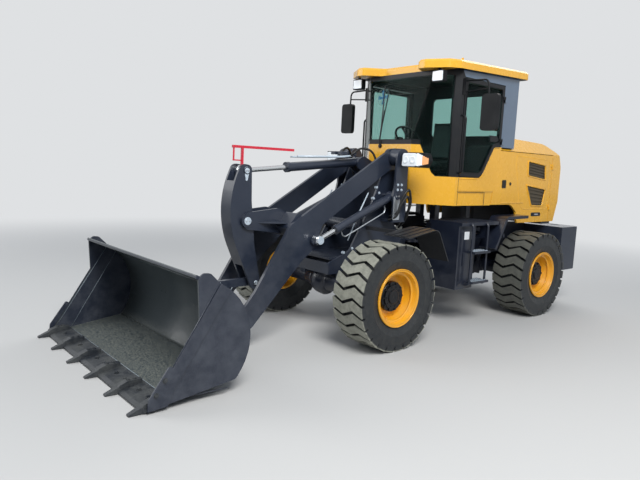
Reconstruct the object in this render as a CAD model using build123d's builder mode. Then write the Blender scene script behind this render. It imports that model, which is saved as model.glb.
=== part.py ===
"""Articulated wheel loader with a hinged front frame, a Z-bar bucket linkage and a glazed cab.

Millimetres. The front of the machine is -Y, its left side is +X and up is +Z.
The origin is on the ground, below the middle of the machine's box.
"""

import os
from math import copysign, cos, hypot, pi, radians, sin, sqrt, tan

from build123d import *

os.makedirs("parts", exist_ok=True)

# Running gear
TYRE_R = 530.0
TYRE_W = 400.0
TYRE_BORE_R = 258.0
LUG_COUNT = 26
LUG_DEPTH = 32.0
LUG_SHARE = 0.74
TRACK = 920.0
WHEELBASE = 2700.0
FRONT_AXLE_Y = -640.0
RIM_FLANGE_R = 283.0
HUB_R = 118.0
AXLE_TUBE_R = 80.0
DIFF_R = 165.0
DIFF_LIP = 8.0

# Named clearances
SEAT = 0.3
PIN_CLEAR = 0.3
SIDE_CLEAR = 1.0
GAP = 8.0

# Articulation
PIVOT_Y = 710.0
PIVOT_PIN_R = 40.0
LUG_PLATE = 40.0
LUG_NOSE_R = 110.0
LOWER_LUG_Z = 470.0
UPPER_LUG_Z = 920.0
FORK_PLATE = 34.0

# Front frame
TOWER_X = 262.0
TOWER_PLATE = 24.0
CHEEK_X = 452.0
TOWER_REAR_Y = 90.0
BOOM_PIVOT = (0.0, 1900.0)
BOOM_PIN_R = 35.0
TOWER_FLANGE = 20.0
LIFT_BASE = (-60.0, 1475.0)
TILT_BASE = (-230.0, 1832.0)

# Boom, bellcrank and link
BOOM_X = 302.0
BOOM_PLATE = 36.0
BOOM_EYE_R = 95.0
BUCKET_PIN = (-2060.0, 235.0)
BUCKET_PIN_R = 32.0
BOOM_NOSE_R = 105.0
CRANK_PIN = (-1769.0, 1211.0)
CRANK_TOP = (-1770.0, 1688.0)
CRANK_FOOT = (-1631.0, 595.0)
CRANK_X = 62.0
CRANK_STRIP = 22.0
ARM_PLATE = 26.0
CRANK_PLATE = 26.0
LINK_PIN = (-2100.0, 590.0)
LINK_PIN_R = 28.0

# Cylinders
LIFT_X = 400.0
LIFT_ROD_PIN = (-1105.0, 1031.0)
LIFT_BARREL_R = 42.0
LIFT_ROD_R = 25.0
LIFT_BARREL_LEN = 900.0
TILT_BARREL_R = 47.0
TILT_ROD_R = 25.0
TILT_BARREL_LEN = 1020.0
TILT_EYE_HALF = 49.0
GLAND_LEN = 42.0
GLAND_LIP = 6.0
PIPE_R = 7.0
STEER_X = 235.0
STEER_Z = 700.0
STEER_REAR_Y = 1190.0
STEER_FRONT = (270.0, 430.0)
STEER_BARREL_R = 34.0
STEER_ROD_R = 18.0
STEER_BARREL_LEN = 470.0
STEER_ROD_START = 272.0

# Bucket
BUCKET_HALF = 1125.0
BUCKET_SIDE = 16.0
BUCKET_SKIN = 14.0
TOOTH_COUNT = 6
TOOTH_W = 62.0
TOOTH_TIP_Y = -3330.0
EDGE_FRONT_Y = -3235.0
EDGE_BACK_Y = -3020.0

# Cab
CAB_BASE_Z = 1387.0
CAB_FRONT_Y = 279.0
CAB_FRONT_X = 330.0
CAB_SIDE_X = 745.0
CAB_CORNER_Y = 600.0
CAB_WALL = 30.0
CAB_SILL_Z = 1712.0
CAB_REAR_Y = 1742.0
CAB_STEP_Y = 1470.0
CAB_STEP_Z = 2092.0
CAB_TOP_Z = 2893.0
ROOF_SLOPE = 0.035
COWL_TOP_Z = 2062.0
COWL_BAND = 50.0
SCREEN_TOP_Y = 411.0
ROOF_T = 94.0
ROOF_SIDE_X = 800.0
ROOF_REAR_Y = 1890.0
GLASS_T = 6.0
POST = 60.0
DOOR_FRONT_Y = 655.0
DOOR_REAR_Y = 1440.0
HEADER = 78.0
DOOR_T = 36.0
DOOR_BAR = 46.0

DOOR_AXIS = (CAB_SIDE_X + 13.0, 1444.0)
DOOR_HINGE_Z = (2157.0, 2656.0)
LEAF_H = 34.0
LEAF_R = 8.0

# Hood and rear end
HOOD_X = 738.0
HOOD_SEAM_SLOPE = 0.2
HOOD_TOP_Z = 2240.0
HOOD_SHOULDER_Z = 2060.0
HOOD_REAR_Y = 2985.0
HOOD_BOTTOM_Z = 1156.0
ENGINE_DOOR_REAR_Y = 2754.0
ENGINE_DOOR_AXIS = (HOOD_X + 8.0, ENGINE_DOOR_REAR_Y - 4.0)
ENGINE_HINGE_Z = (1350.0, 1900.0)
WEIGHT_HALF = 930.0
WEIGHT_FRONT_Y = 2820.0
WEIGHT_REAR_Y = 3330.0
WEIGHT_BOTTOM_Z = 490.0
WEIGHT_TOP_Z = 1090.0
WEIGHT_CHAMFER = 90.0
TOW_PIN_R = 25.0
RAIL_X = 330.0
RAIL_PLATE = 24.0
RAIL_FRONT_Y = 1000.0
DECK_TOP_Z = 1206.0
DECK_T = 40.0
DECK_OUT_X = 880.0
BEAM_FRONT_Y = 650.0
DECK_REAR_Y = 1335.0
BOX_OUT_X = 840.0
BOX_IN_X = 440.0
BOX_FRONT_Y = 602.0
BOX_REAR_Y = 930.0
BOX_BOTTOM_Z = 430.0
LADDER_X = 905.0
LADDER_R = 14.0
DOOR_TOP_Z = CAB_TOP_Z - HEADER

REAR_AXLE_Y = FRONT_AXLE_Y + WHEELBASE
LUG_PITCH = 2 * pi / LUG_COUNT
LUG_ARC = TYRE_R * LUG_PITCH * LUG_SHARE
LUG_SHIFT = 26.0
LUG_REACH = LUG_ARC / 2 + LUG_SHIFT
LUG_FLAT_R = sqrt(TYRE_R**2 - LUG_REACH**2)
CARCASS_R = TYRE_R - LUG_DEPTH
AXLE_Z = LUG_FLAT_R * cos(LUG_PITCH) + LUG_REACH * sin(LUG_PITCH)


def slab(plane, points, amount, mode=Mode.ADD, inset=0.0):
    """Extrude an outline of (u, v) corners, drawn in by an inset; a third value rounds its corner."""
    corners = []
    for number, (u, v, *soft) in enumerate(points):
        at = Vector(u, v)
        if soft:
            back = (Vector(*points[number - 1][:2]) - at).normalized()
            on = (Vector(*points[(number + 1) % len(points)][:2]) - at).normalized()
            half = radians(back.get_angle(on)) / 2
            reach = soft[0] / tan(half)
            bulge = (back + on).normalized() * soft[0] * (1 / sin(half) - 1)
            corners.append((at + back * reach, at + bulge, at + on * reach))
        else:
            corners.append((at, None, at))
    with BuildSketch(plane) as outline:
        with BuildLine():
            for number, (start, middle, end) in enumerate(corners):
                if middle is not None:
                    ThreePointArc(start, middle, end)
                Line(end, corners[(number + 1) % len(corners)][0])
        make_face()
        if inset:
            offset(amount=-inset, kind=Kind.INTERSECTION)
    extrude(outline.sketch, amount=amount, mode=mode)


def slab_x(points, x0, x1, mode=Mode.ADD, inset=0.0):
    """Extrude an outline of (y, z) corners from x0 to x1."""
    slab(Plane.YZ.offset(x0), points, x1 - x0, mode, inset)


def slab_y(points, y0, y1, mode=Mode.ADD, inset=0.0):
    """Extrude an outline of (x, z) corners from y0 to y1."""
    slab(Plane.XZ.offset(-y0), points, y0 - y1, mode, inset)


def slab_z(points, z0, z1, mode=Mode.ADD):
    """Extrude an outline of (x, y) corners from z0 to z1."""
    slab(Plane.XY.offset(z0), points, z1 - z0, mode)


def block(x0, x1, y0, y1, z0, z1, mode=Mode.ADD):
    """Add a box between the given limits."""
    with Locations(((x0 + x1) / 2, (y0 + y1) / 2, (z0 + z1) / 2)):
        Box(abs(x1 - x0), abs(y1 - y0), abs(z1 - z0), mode=mode)


def bar(start, end, radius, mode=Mode.ADD):
    """Add a round bar from start to end."""
    run = Vector(*end) - Vector(*start)
    with BuildSketch(Plane(origin=start, z_dir=run)) as disc:
        Circle(radius)
    extrude(disc.sketch, amount=run.length, mode=mode)


def pin_x(centre, x0, x1, radius, mode=Mode.ADD):
    """Add a round pin along X at a (y, z) centre."""
    bar((min(x0, x1), *centre), (max(x0, x1), *centre), radius, mode)


def save(builder, name):
    """Label a finished piece and write its STEP file."""
    builder.part.label = name
    export_step(builder.part, f"parts/{name}.step")


def tube(points, radius, bends, mode=Mode.ADD):
    """Sweep a round tube along straight runs joined by tangent arcs of the given radii."""
    with BuildLine() as route:
        FilletPolyline(*points, radius=bends)
    with BuildSketch(Plane(origin=route.line @ 0, z_dir=route.line % 0)) as section:
        Circle(radius)
    sweep(section.sketch, path=route.wire(), mode=mode)


def turned(side, points):
    """Return (x, y) or (x, z) corners with x on one side of the machine."""
    return [(side * u, *rest) for u, *rest in points]


def hinge_leaf(side, face_x, axis, z0, z1, way):
    """Add half a hinge: a knuckle on a vertical (x, y) axis and a leaf to the front (-1) or back (1)."""
    bar((side * axis[0], axis[1], z0), (side * axis[0], axis[1], z1), LEAF_R)
    block(*mirrored(side, face_x, axis[0]), *sorted((axis[1], axis[1] + way * 38)), z0, z1)


def mirrored(side, *values):
    """Return X limits for one side of the machine, in rising order."""
    return sorted(side * v for v in values)


# Tyres and rims
TYRE_SECTIONS = (
    # distance along the axle, radius
    (-167.0, 285.0),
    (-200.0, 375.0),
    (-192.0, CARCASS_R - 10),
    (192.0, CARCASS_R - 10),
    (200.0, 375.0),
    (167.0, 285.0),
)
LUG_ZIGZAG = ((-196.0, -1.0), (-66.0, 1.0), (66.0, -1.0), (196.0, 1.0))
WHEELS = (
    # name, side, axle centre y
    ("front_left", 1, FRONT_AXLE_Y),
    ("front_right", -1, FRONT_AXLE_Y),
    ("rear_left", 1, REAR_AXLE_Y),
    ("rear_right", -1, REAR_AXLE_Y),
)
LUG_LEAD = [(shift * LUG_SHIFT + LUG_ARC / 2, a) for a, shift in LUG_ZIGZAG]
LUG_TRAIL = [(shift * LUG_SHIFT - LUG_ARC / 2, a) for a, shift in LUG_ZIGZAG]
RIM_SECTION = (
    # distance outward along the axle, radius
    (108.0, 0.0),
    (108.0, HUB_R),
    (52.0, HUB_R),
    (52.0, 214.0),
    (182.0, 262.0),
    (182.0, RIM_FLANGE_R),
    (168.0, RIM_FLANGE_R),
    (168.0, TYRE_BORE_R - SEAT),
    (-168.0, TYRE_BORE_R - SEAT),
    (-168.0, 240.0),
    (36.0, 202.0),
    (36.0, 0.0),
)
WHEEL_PLANE = Plane(origin=(0, 0, 0), x_dir=(0, 0, -1), z_dir=(1, 0, 0))
with BuildPart() as tyre_form:
    for a, r in TYRE_SECTIONS:
        with BuildSketch(WHEEL_PLANE.offset(a)):
            RegularPolygon(r, LUG_COUNT)
    loft(ruled=True)
    with BuildSketch(WHEEL_PLANE.offset(-TYRE_W)):
        RegularPolygon(TYRE_BORE_R, LUG_COUNT, major_radius=False)
    extrude(amount=2 * TYRE_W, mode=Mode.SUBTRACT)
    for number in range(LUG_COUNT):
        turn = 2 * pi * number / LUG_COUNT
        tread = Plane(origin=(0, 0, 0), x_dir=(0, cos(turn), sin(turn)), z_dir=(0, -sin(turn), cos(turn)))
        with BuildSketch(tread.offset(CARCASS_R - 26)):
            Polygon(*LUG_LEAD, *reversed(LUG_TRAIL), align=None)
    extrude(amount=LUG_FLAT_R - CARCASS_R + 26)
for place, side, axle_y in WHEELS:
    with BuildPart() as tyre:
        with Locations((side * TRACK, axle_y, AXLE_Z)):
            add(tyre_form.part)
    save(tyre, f"tyre_{place}")
    with BuildPart() as rim:
        with BuildSketch(Plane.XZ.offset(-axle_y)):
            with Locations((side * TRACK, AXLE_Z)):
                Polygon(*[(side * a, r) for a, r in RIM_SECTION], align=None)
        revolve(axis=Axis((side * TRACK, axle_y, AXLE_Z), (1, 0, 0)))
    save(rim, f"rim_{place}")

# Axles: hub ends that stop short of the wheel discs, tubes, and a ball with noses along Y
HUB_FACE = TRACK + 36.0 - SEAT
HALF_AXLE = (
    # distance from the middle, radius
    (HUB_FACE, 0.0),
    (HUB_FACE, 110.0),
    (TRACK - 40, 150.0),
    (TRACK - 130, 150.0),
    (TRACK - 150, AXLE_TUBE_R),
    (260.0, AXLE_TUBE_R),
    (130.0, 118.0),
)
AXLES = (
    # name, axle centre y, (start, end, radius) of each nose, from the axle's centre
    ("front_axle", FRONT_AXLE_Y, ((0.0, 330.0, 62.0), (90.0, 190.0, 105.0))),
    ("rear_axle", REAR_AXLE_Y, ((-250.0, 330.0, 62.0), (-190.0, -90.0, 105.0))),
)
for name, axle_y, noses in AXLES:
    with BuildPart() as axle:
        with BuildSketch(Plane.XZ.offset(-axle_y)):
            with Locations((0, AXLE_Z)):
                Polygon(*HALF_AXLE, *reversed(turned(-1, HALF_AXLE)), align=None)
        revolve(axis=Axis((0, axle_y, AXLE_Z), (1, 0, 0)))
        with Locations((0, axle_y, AXLE_Z)):
            Sphere(DIFF_R)
        bar((0, axle_y - 12, AXLE_Z), (0, axle_y + 12, AXLE_Z), DIFF_R + DIFF_LIP)
        for start, end, radius in noses:
            bar((0, axle_y + start, AXLE_Z), (0, axle_y + end, AXLE_Z), radius)
    save(axle, name)

# Front frame: two tower forks, a tapered hinge box and lugs on the articulation pins
TOWER_OUTLINE = (
    (TOWER_REAR_Y, 1992.0, 85.0),
    (-92.0, 1992.0, 85.0),
    (-84.0, 1790.0, 60.0),
    (-245.0, 1400.0),
    (-560.0, 870.0, 120.0),
    (-850.0, 760.0, 40.0),
    (-850.0, 640.0),
    (-400.0, 640.0, 60.0),
    (-330.0, 470.0, 60.0),
    (250.0, 470.0),
    (250.0, 1000.0),
    (TOWER_REAR_Y, 1180.0),
)
CHEEK_OUTLINE = (
    (TOWER_REAR_Y, 1992.0, 85.0),
    (-92.0, 1992.0, 85.0),
    (-100.0, 1590.0, 60.0),
    (-128.0, 1475.0, 60.0),
    (-110.0, 1360.0, 60.0),
    (-110.0, 1190.0),
    (TOWER_REAR_Y, 1190.0),
)
TILT_BRACKET = (
    (45.0, 1640.0),
    (45.0, 1800.0),
    (-210.0, 1900.0, 60.0),
    (-300.0, 1850.0, 60.0),
    (-290.0, 1770.0, 50.0),
    (-100.0, 1640.0),
)
STEER_BRACKET = (
    (190.0, 380.0),
    (290.0, 390.0, 20.0),
    (312.0, 430.0, 20.0),
    (290.0, 472.0, 20.0),
    (140.0, 490.0),
)
TOWER_FRONT_FLANGE = (
    (-255.0, 1340.0),
    (-525.0, 885.0),
    (-560.0, 860.0),
    (-540.0, 850.0),
    (-500.0, 870.0),
    (-230.0, 1330.0),
)
HINGE_BOX_X = 115.0
HINGE_BOX_Y = 540.0
with BuildPart() as front_chassis:
    for side in (1, -1):
        slab_x(TOWER_OUTLINE, *mirrored(side, TOWER_X, TOWER_X + TOWER_PLATE))
        slab_x(CHEEK_OUTLINE, *mirrored(side, CHEEK_X, CHEEK_X + TOWER_PLATE))
        block(*mirrored(side, TOWER_X, CHEEK_X + TOWER_PLATE), TOWER_REAR_Y - 20, TOWER_REAR_Y, 1190, 1760)
        block(*mirrored(side, TOWER_X, CHEEK_X), -110, TOWER_REAR_Y, 1190, 1214)
        # Folded flange along the tower plate's front edge
        slab_x(TOWER_FRONT_FLANGE, *mirrored(side, TOWER_X, TOWER_X - TOWER_FLANGE))
    # Cross tubes and plates between the tower sides
    block(-TOWER_X, TOWER_X, 30, 60, 1000, 1800)
    block(-TOWER_X, TOWER_X, -850, -826, 640, 760)
    block(-TOWER_X, TOWER_X, -820, 250, 640 + 150, 640 + 174)
    pin_x((-400, 1140), -TOWER_X, TOWER_X, 60)
    # Tilt cylinder bracket on the upper cross plate
    for side in (1, -1):
        slab_x(
            TILT_BRACKET,
            *mirrored(side, TILT_EYE_HALF + SIDE_CLEAR, TILT_EYE_HALF + SIDE_CLEAR + 24),
        )
    # Hinge box
    for side in (1, -1):
        slab_z(
            turned(
                side,
                ((262, 250), (286, 250), (HINGE_BOX_X, HINGE_BOX_Y), (HINGE_BOX_X - 24, HINGE_BOX_Y)),
            ),
            LOWER_LUG_Z,
            UPPER_LUG_Z + LUG_PLATE,
        )
    for low in (LOWER_LUG_Z, UPPER_LUG_Z):
        slab_z(
            (
                (-286, 200),
                (286, 200),
                (286, 250),
                (HINGE_BOX_X, HINGE_BOX_Y),
                (-HINGE_BOX_X, HINGE_BOX_Y),
                (-286, 250),
            ),
            low,
            low + LUG_PLATE,
        )
        block(-LUG_NOSE_R, LUG_NOSE_R, HINGE_BOX_Y - 10, PIVOT_Y, low, low + LUG_PLATE)
        with Locations((0, PIVOT_Y, low + LUG_PLATE / 2)):
            Cylinder(LUG_NOSE_R, LUG_PLATE)
            Cylinder(PIVOT_PIN_R + PIN_CLEAR, LUG_PLATE * 2, mode=Mode.SUBTRACT)
    block(-HINGE_BOX_X, HINGE_BOX_X, HINGE_BOX_Y - 24, HINGE_BOX_Y, LOWER_LUG_Z, UPPER_LUG_Z + LUG_PLATE)
    # Steering brackets
    for side in (1, -1):
        for low in (STEER_Z - 64, STEER_Z + 40):
            slab_z(turned(side, STEER_BRACKET), low, low + 24)
    # Bores for the boom pins, the lift cylinder pins and the axle nose
    pin_x(BOOM_PIVOT, -600, 600, BOOM_PIN_R + PIN_CLEAR, Mode.SUBTRACT)
    for side in (1, -1):
        block(*mirrored(side, TOWER_X, TOWER_X + 80), FRONT_AXLE_Y - 75, FRONT_AXLE_Y + 75, 560, 660)
        pin_x(
            (FRONT_AXLE_Y, AXLE_Z),
            *mirrored(side, TOWER_X, TOWER_X + 80),
            AXLE_TUBE_R + SEAT,
            Mode.SUBTRACT,
        )
    pin_x((FRONT_AXLE_Y, AXLE_Z), -255, 255, DIFF_R + DIFF_LIP + GAP, Mode.SUBTRACT)
    # Fixed pins
    for side in (1, -1):
        pin_x(LIFT_BASE, *mirrored(side, TOWER_X + TOWER_PLATE, CHEEK_X), 26)
    pin_x(TILT_BASE, -TILT_EYE_HALF - SIDE_CLEAR, TILT_EYE_HALF + SIDE_CLEAR, 26)
save(front_chassis, "front_chassis")

# Front fenders: bent sheet with ribs along the travel, on a bracket from the tower
FENDER_X = (740.0, 1080.0)
FENDER_SHEET = 8.0
FENDER_TOP = ((-521.0, 1100.0), (-74.0, 1176.0, 90.0), (122.0, 832.0))
RIBS = (790.0, 880.0, 970.0)
RIB_W = 54.0


def fender(top, lift, thickness, x0, x1):
    """Add a bent sheet whose underside follows three (y, z) corners at a height over them."""
    (front_y, front_z), (crest_y, crest_z, bend), (rear_y, rear_z) = top
    slab_x(
        (
            (front_y, front_z + lift),
            (crest_y, crest_z + lift, bend),
            (rear_y + lift / 2, rear_z + lift / 2),
            (rear_y + lift / 2 + thickness, rear_z + lift / 2 + thickness / 2),
            (crest_y + thickness / 2, crest_z + lift + thickness, bend + thickness),
            (front_y, front_z + lift + thickness),
        ),
        x0,
        x1,
    )


with BuildPart() as front_fenders:
    for side in (1, -1):
        fender(FENDER_TOP, 0.0, FENDER_SHEET, *mirrored(side, *FENDER_X))
        for x in RIBS:
            fender(FENDER_TOP, FENDER_SHEET - 1, 10.0, *mirrored(side, x, x + RIB_W))
        block(*mirrored(side, TOWER_X + TOWER_PLATE, 900), -330, -290, 1100, 1138)
        slab_x(
            ((100.0, 850.0), (122.0, 850.0), (126.0, 604.0), (104.0, 604.0)),
            *mirrored(side, FENDER_X[0], FENDER_X[0] + 14),
        )
save(front_fenders, "front_fenders")

# Headlamps: a rounded case with its outer front corner cut back, on a bracket from the cheek
LAMP_FRONT_Y = -60.0
LAMP_REAR_Y = 110.0
LAMP_CASE = (
    (505.0, 1800.0, 30.0),
    (535.0, 1955.0, 40.0),
    (770.0, 1955.0, 40.0),
    (800.0, 1870.0, 30.0),
    (750.0, 1795.0, 30.0),
)
LAMP_LENS = ((522.0, 1812.0, 25.0), (548.0, 1942.0, 30.0), (700.0, 1942.0, 20.0), (700.0, 1810.0, 20.0))
with BuildPart() as headlamps:
    for side in (1, -1):
        slab_y(turned(side, LAMP_CASE), LAMP_FRONT_Y, LAMP_REAR_Y)
        slab_z(
            turned(side, ((715, LAMP_FRONT_Y - 1), (801, LAMP_FRONT_Y - 1), (801, 30))),
            1780,
            1960,
            Mode.SUBTRACT,
        )
        slab_y(turned(side, LAMP_LENS), LAMP_FRONT_Y - 1, LAMP_FRONT_Y + 6, Mode.SUBTRACT)
        block(*mirrored(side, CHEEK_X + TOWER_PLATE + SEAT, 560), 45, 80, 1850, 1890)
save(headlamps, "headlamps")

# Boom: two side plates, eye bosses, a box crossmember and the bellcrank ears
BOOM_OUTLINE = (
    (-60.0, 1984.0, 60.0),
    (70.0, 2008.0, 60.0),
    (105.0, 1850.0, 70.0),
    (-119.0, 1718.0),
    (-1000.0, 1180.0, 80.0),
    (-1100.0, 937.0, 120.0),
    (-1255.0, 821.0, 300.0),
    (-1569.0, 491.0),
    (-1827.0, 221.0, 200.0),
    (-1990.0, 128.0),
    (-2060.0, 130.0),
    (-2060.0, 340.0),
    (-2010.0, 345.0, 60.0),
    (-1900.0, 440.0, 120.0),
    (-1798.0, 561.0),
    (-1404.0, 1185.0, 130.0),
)
CROSSMEMBER = (
    (-1330.0, 1040.0, 30.0),
    (-1420.0, 1150.0, 30.0),
    (-1300.0, 1300.0, 30.0),
    (-1180.0, 1240.0, 30.0),
)
CRANK_ARM = (
    (-1300.0, 1070.0),
    (-1780.0, 1130.0, 70.0),
    (-1850.0, 1215.0, 62.0),
    (-1775.0, 1290.0, 70.0),
    (-1400.0, 1330.0, 60.0),
    (-1240.0, 1270.0),
)
ARM_GUSSET = ((112.0, -1640.0), (112.0, -1330.0), (250.0, -1330.0, 20.0), (250.0, -1400.0, 60.0))
with BuildPart() as boom:
    for side in (1, -1):
        slab_x(BOOM_OUTLINE, *mirrored(side, BOOM_X, BOOM_X + BOOM_PLATE))
        pin_x(
            BOOM_PIVOT,
            *mirrored(side, TOWER_X + TOWER_PLATE + SIDE_CLEAR, CHEEK_X - SIDE_CLEAR),
            BOOM_EYE_R,
        )
        pin_x(BUCKET_PIN, *mirrored(side, BOOM_X - 12, BOOM_X + BOOM_PLATE + 12), 70)
        pin_x(BUCKET_PIN, *mirrored(side, BOOM_X, BOOM_X + BOOM_PLATE), BOOM_NOSE_R)
        pin_x(LIFT_ROD_PIN, *mirrored(side, BOOM_X, LIFT_X - 25 - SIDE_CLEAR), 62)
    slab_x(CROSSMEMBER, -BOOM_X, BOOM_X)
    arm_x = CRANK_X + CRANK_PLATE + SIDE_CLEAR
    for side in (1, -1):
        slab_x(CRANK_ARM, *mirrored(side, arm_x, arm_x + ARM_PLATE))
        slab_z(turned(side, ARM_GUSSET), 1186, 1202)
        pin_x(CRANK_PIN, *mirrored(side, arm_x, arm_x + ARM_PLATE + 12), 62)
    pin_x(BOOM_PIVOT, -600, 600, BOOM_PIN_R, Mode.SUBTRACT)
    for side in (1, -1):
        pin_x(BOOM_PIVOT, *mirrored(side, TOWER_X - 20, CHEEK_X + TOWER_PLATE + 12), BOOM_PIN_R)
    pin_x(BUCKET_PIN, -600, 600, BUCKET_PIN_R + PIN_CLEAR, Mode.SUBTRACT)
    pin_x(CRANK_PIN, -arm_x - ARM_PLATE - 12, arm_x + ARM_PLATE + 12, 30)
save(boom, "boom")

# Bellcrank: two plates bowed to the front, joined by a hub and by a strip along the bow
CRANK_OUTLINE = (
    (-1828.0, 1756.0, 62.0),
    (-2022.0, 1316.0, 900.0),
    (-1668.0, 524.0, 40.0),
    (-1566.0, 548.0, 40.0),
    (-1655.0, 960.0, 600.0),
    (-1703.0, 1400.0),
    (-1712.0, 1740.0, 50.0),
)
STRIP_Z = (770.0, 1590.0)
with BuildPart() as bellcrank:
    slab_x(CRANK_OUTLINE, -CRANK_X, CRANK_X)
    slab_x([(y + CRANK_STRIP, *rest) for y, *rest in CRANK_OUTLINE], -CRANK_X, CRANK_X, Mode.SUBTRACT)
    for z0, z1 in ((0.0, STRIP_Z[0]), (STRIP_Z[1], 2000.0)):
        block(-CRANK_X, CRANK_X, -2100, -1400, z0, z1, Mode.SUBTRACT)
    for side in (1, -1):
        slab_x(CRANK_OUTLINE, *mirrored(side, CRANK_X, CRANK_X + CRANK_PLATE))
        pin_x(CRANK_PIN, *mirrored(side, 0, CRANK_X), 62)
        pin_x(CRANK_TOP, *mirrored(side, CRANK_X, CRANK_X + CRANK_PLATE + 8), 34)
    pin_x(CRANK_PIN, -200, 200, 30 + PIN_CLEAR, Mode.SUBTRACT)
    pin_x(CRANK_FOOT, -CRANK_X - CRANK_PLATE - 8, CRANK_X + CRANK_PLATE + 8, LINK_PIN_R)
save(bellcrank, "bellcrank")

# Link from the bellcrank's foot to the bucket
with BuildPart() as link:
    pin_x(CRANK_FOOT, -CRANK_X + SIDE_CLEAR, CRANK_X - SIDE_CLEAR, 55)
    pin_x(LINK_PIN, -CRANK_X + SIDE_CLEAR, CRANK_X - SIDE_CLEAR, 55)
    slab_x(
        (
            (CRANK_FOOT[0], CRANK_FOOT[1] - 38),
            (CRANK_FOOT[0], CRANK_FOOT[1] + 38),
            (LINK_PIN[0], LINK_PIN[1] + 38),
            (LINK_PIN[0], LINK_PIN[1] - 38),
        ),
        -24,
        24,
    )
    pin_x(CRANK_FOOT, -CRANK_X - 5, CRANK_X + 5, LINK_PIN_R + PIN_CLEAR, Mode.SUBTRACT)
save(link, "link")

# Bucket: rolled skin, side plates with ears and strips, hinge ears
SKIN_BACK = (-2375.0, 395.0)
SKIN_TOP = (-2560.0, 815.0)
SKIN_HEEL = (-2500.0, 112.0)
SKIN_LIP = (-2815.0, 930.0)
FLOOR_FRONT = (EDGE_BACK_Y, 44.0)
BUCKET_GUSSET = (
    (-2818.0, 615.0),
    (-2835.0, 925.0, 30.0),
    (-2790.0, 960.0, 30.0),
    (-2735.0, 955.0, 40.0),
    (-2650.0, 872.0),
    (-2560.0, 815.0),
    (-2600.0, 500.0),
)
SIDE_STRIP = ((-3205.0, 24.0), (-2652.0, 874.0), (-2562.0, 817.0), (-3090.0, 30.0))
SIDE_CUTTER = (
    (-3212.0, 22.0),
    (-3206.0, 105.0, 12.0),
    (-3052.0, 322.0, 20.0),
    (-2965.0, 262.0, 20.0),
    (-3062.0, 32.0),
)
BOOM_EAR = (
    (-2410.0, 240.0),
    (-2390.0, 400.0),
    (-2415.0, 560.0),
    (-2120.0, 330.0, 120.0),
    (-2020.0, 305.0, 60.0),
    (-1985.0, 235.0, 55.0),
    (-2030.0, 160.0, 55.0),
    (-2110.0, 150.0, 80.0),
    (-2460.0, 135.0),
)
LINK_EAR = (
    (-2395.0, 450.0),
    (-2430.0, 650.0),
    (-2120.0, 655.0, 60.0),
    (-2040.0, 630.0, 50.0),
    (-2035.0, 560.0, 50.0),
    (-2200.0, 480.0, 100.0),
)
with BuildPart() as bucket:
    with BuildSketch(Plane.YZ.offset(-BUCKET_HALF + BUCKET_SIDE)):
        with BuildLine():
            l1 = Line(SKIN_LIP, SKIN_TOP)
            l2 = ThreePointArc(SKIN_TOP, SKIN_BACK, SKIN_HEEL)
            l3 = Line(SKIN_HEEL, FLOOR_FRONT)
            l4 = Line(FLOOR_FRONT, (FLOOR_FRONT[0] + 2, FLOOR_FRONT[1] + BUCKET_SKIN))
            l5 = Line(l4 @ 1, (SKIN_HEEL[0] - 6, SKIN_HEEL[1] + BUCKET_SKIN))
            l6 = ThreePointArc(
                l5 @ 1,
                (SKIN_BACK[0] - BUCKET_SKIN, SKIN_BACK[1]),
                (SKIN_TOP[0] - 8, SKIN_TOP[1] - BUCKET_SKIN),
            )
            l7 = Line(l6 @ 1, (SKIN_LIP[0] - 6, SKIN_LIP[1] - BUCKET_SKIN))
            l8 = Line(l7 @ 1, SKIN_LIP)
        make_face()
    extrude(amount=2 * (BUCKET_HALF - BUCKET_SIDE))
    for side in (1, -1):
        x0, x1 = mirrored(side, BUCKET_HALF - BUCKET_SIDE, BUCKET_HALF)
        with BuildSketch(Plane.YZ.offset(x0)):
            with BuildLine():
                Line((-3200.0, 20.0), (-2650.0, 872.0))
                Line((-2650.0, 872.0), (-2560.0, SKIN_TOP[1]))
                ThreePointArc((-2560.0, SKIN_TOP[1]), SKIN_BACK, SKIN_HEEL)
                Line(SKIN_HEEL, (-3200.0, 20.0))
            make_face()
        extrude(amount=x1 - x0)
        slab_x(BUCKET_GUSSET, *mirrored(side, BUCKET_HALF - BUCKET_SIDE, BUCKET_HALF))
        for strip in (SIDE_STRIP, SIDE_CUTTER):
            slab_x(strip, *mirrored(side, BUCKET_HALF, BUCKET_HALF + 12))
        for x in (BOOM_X - 38, BOOM_X + BOOM_PLATE + 13):
            slab_x(BOOM_EAR, *mirrored(side, x, x + 25))
        pin_x(BUCKET_PIN, *mirrored(side, BOOM_X - 38, BOOM_X + BOOM_PLATE + 38), BUCKET_PIN_R)
        slab_x(LINK_EAR, *mirrored(side, CRANK_X, CRANK_X + CRANK_PLATE))
    # Top lip bar
    slab_x(
        ((-2852.0, 924.0, 8.0), (-2846.0, 952.0, 8.0), (-2768.0, 916.0), (-2776.0, 896.0)),
        -BUCKET_HALF + BUCKET_SIDE,
        BUCKET_HALF - BUCKET_SIDE,
    )
save(bucket, "bucket")

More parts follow.
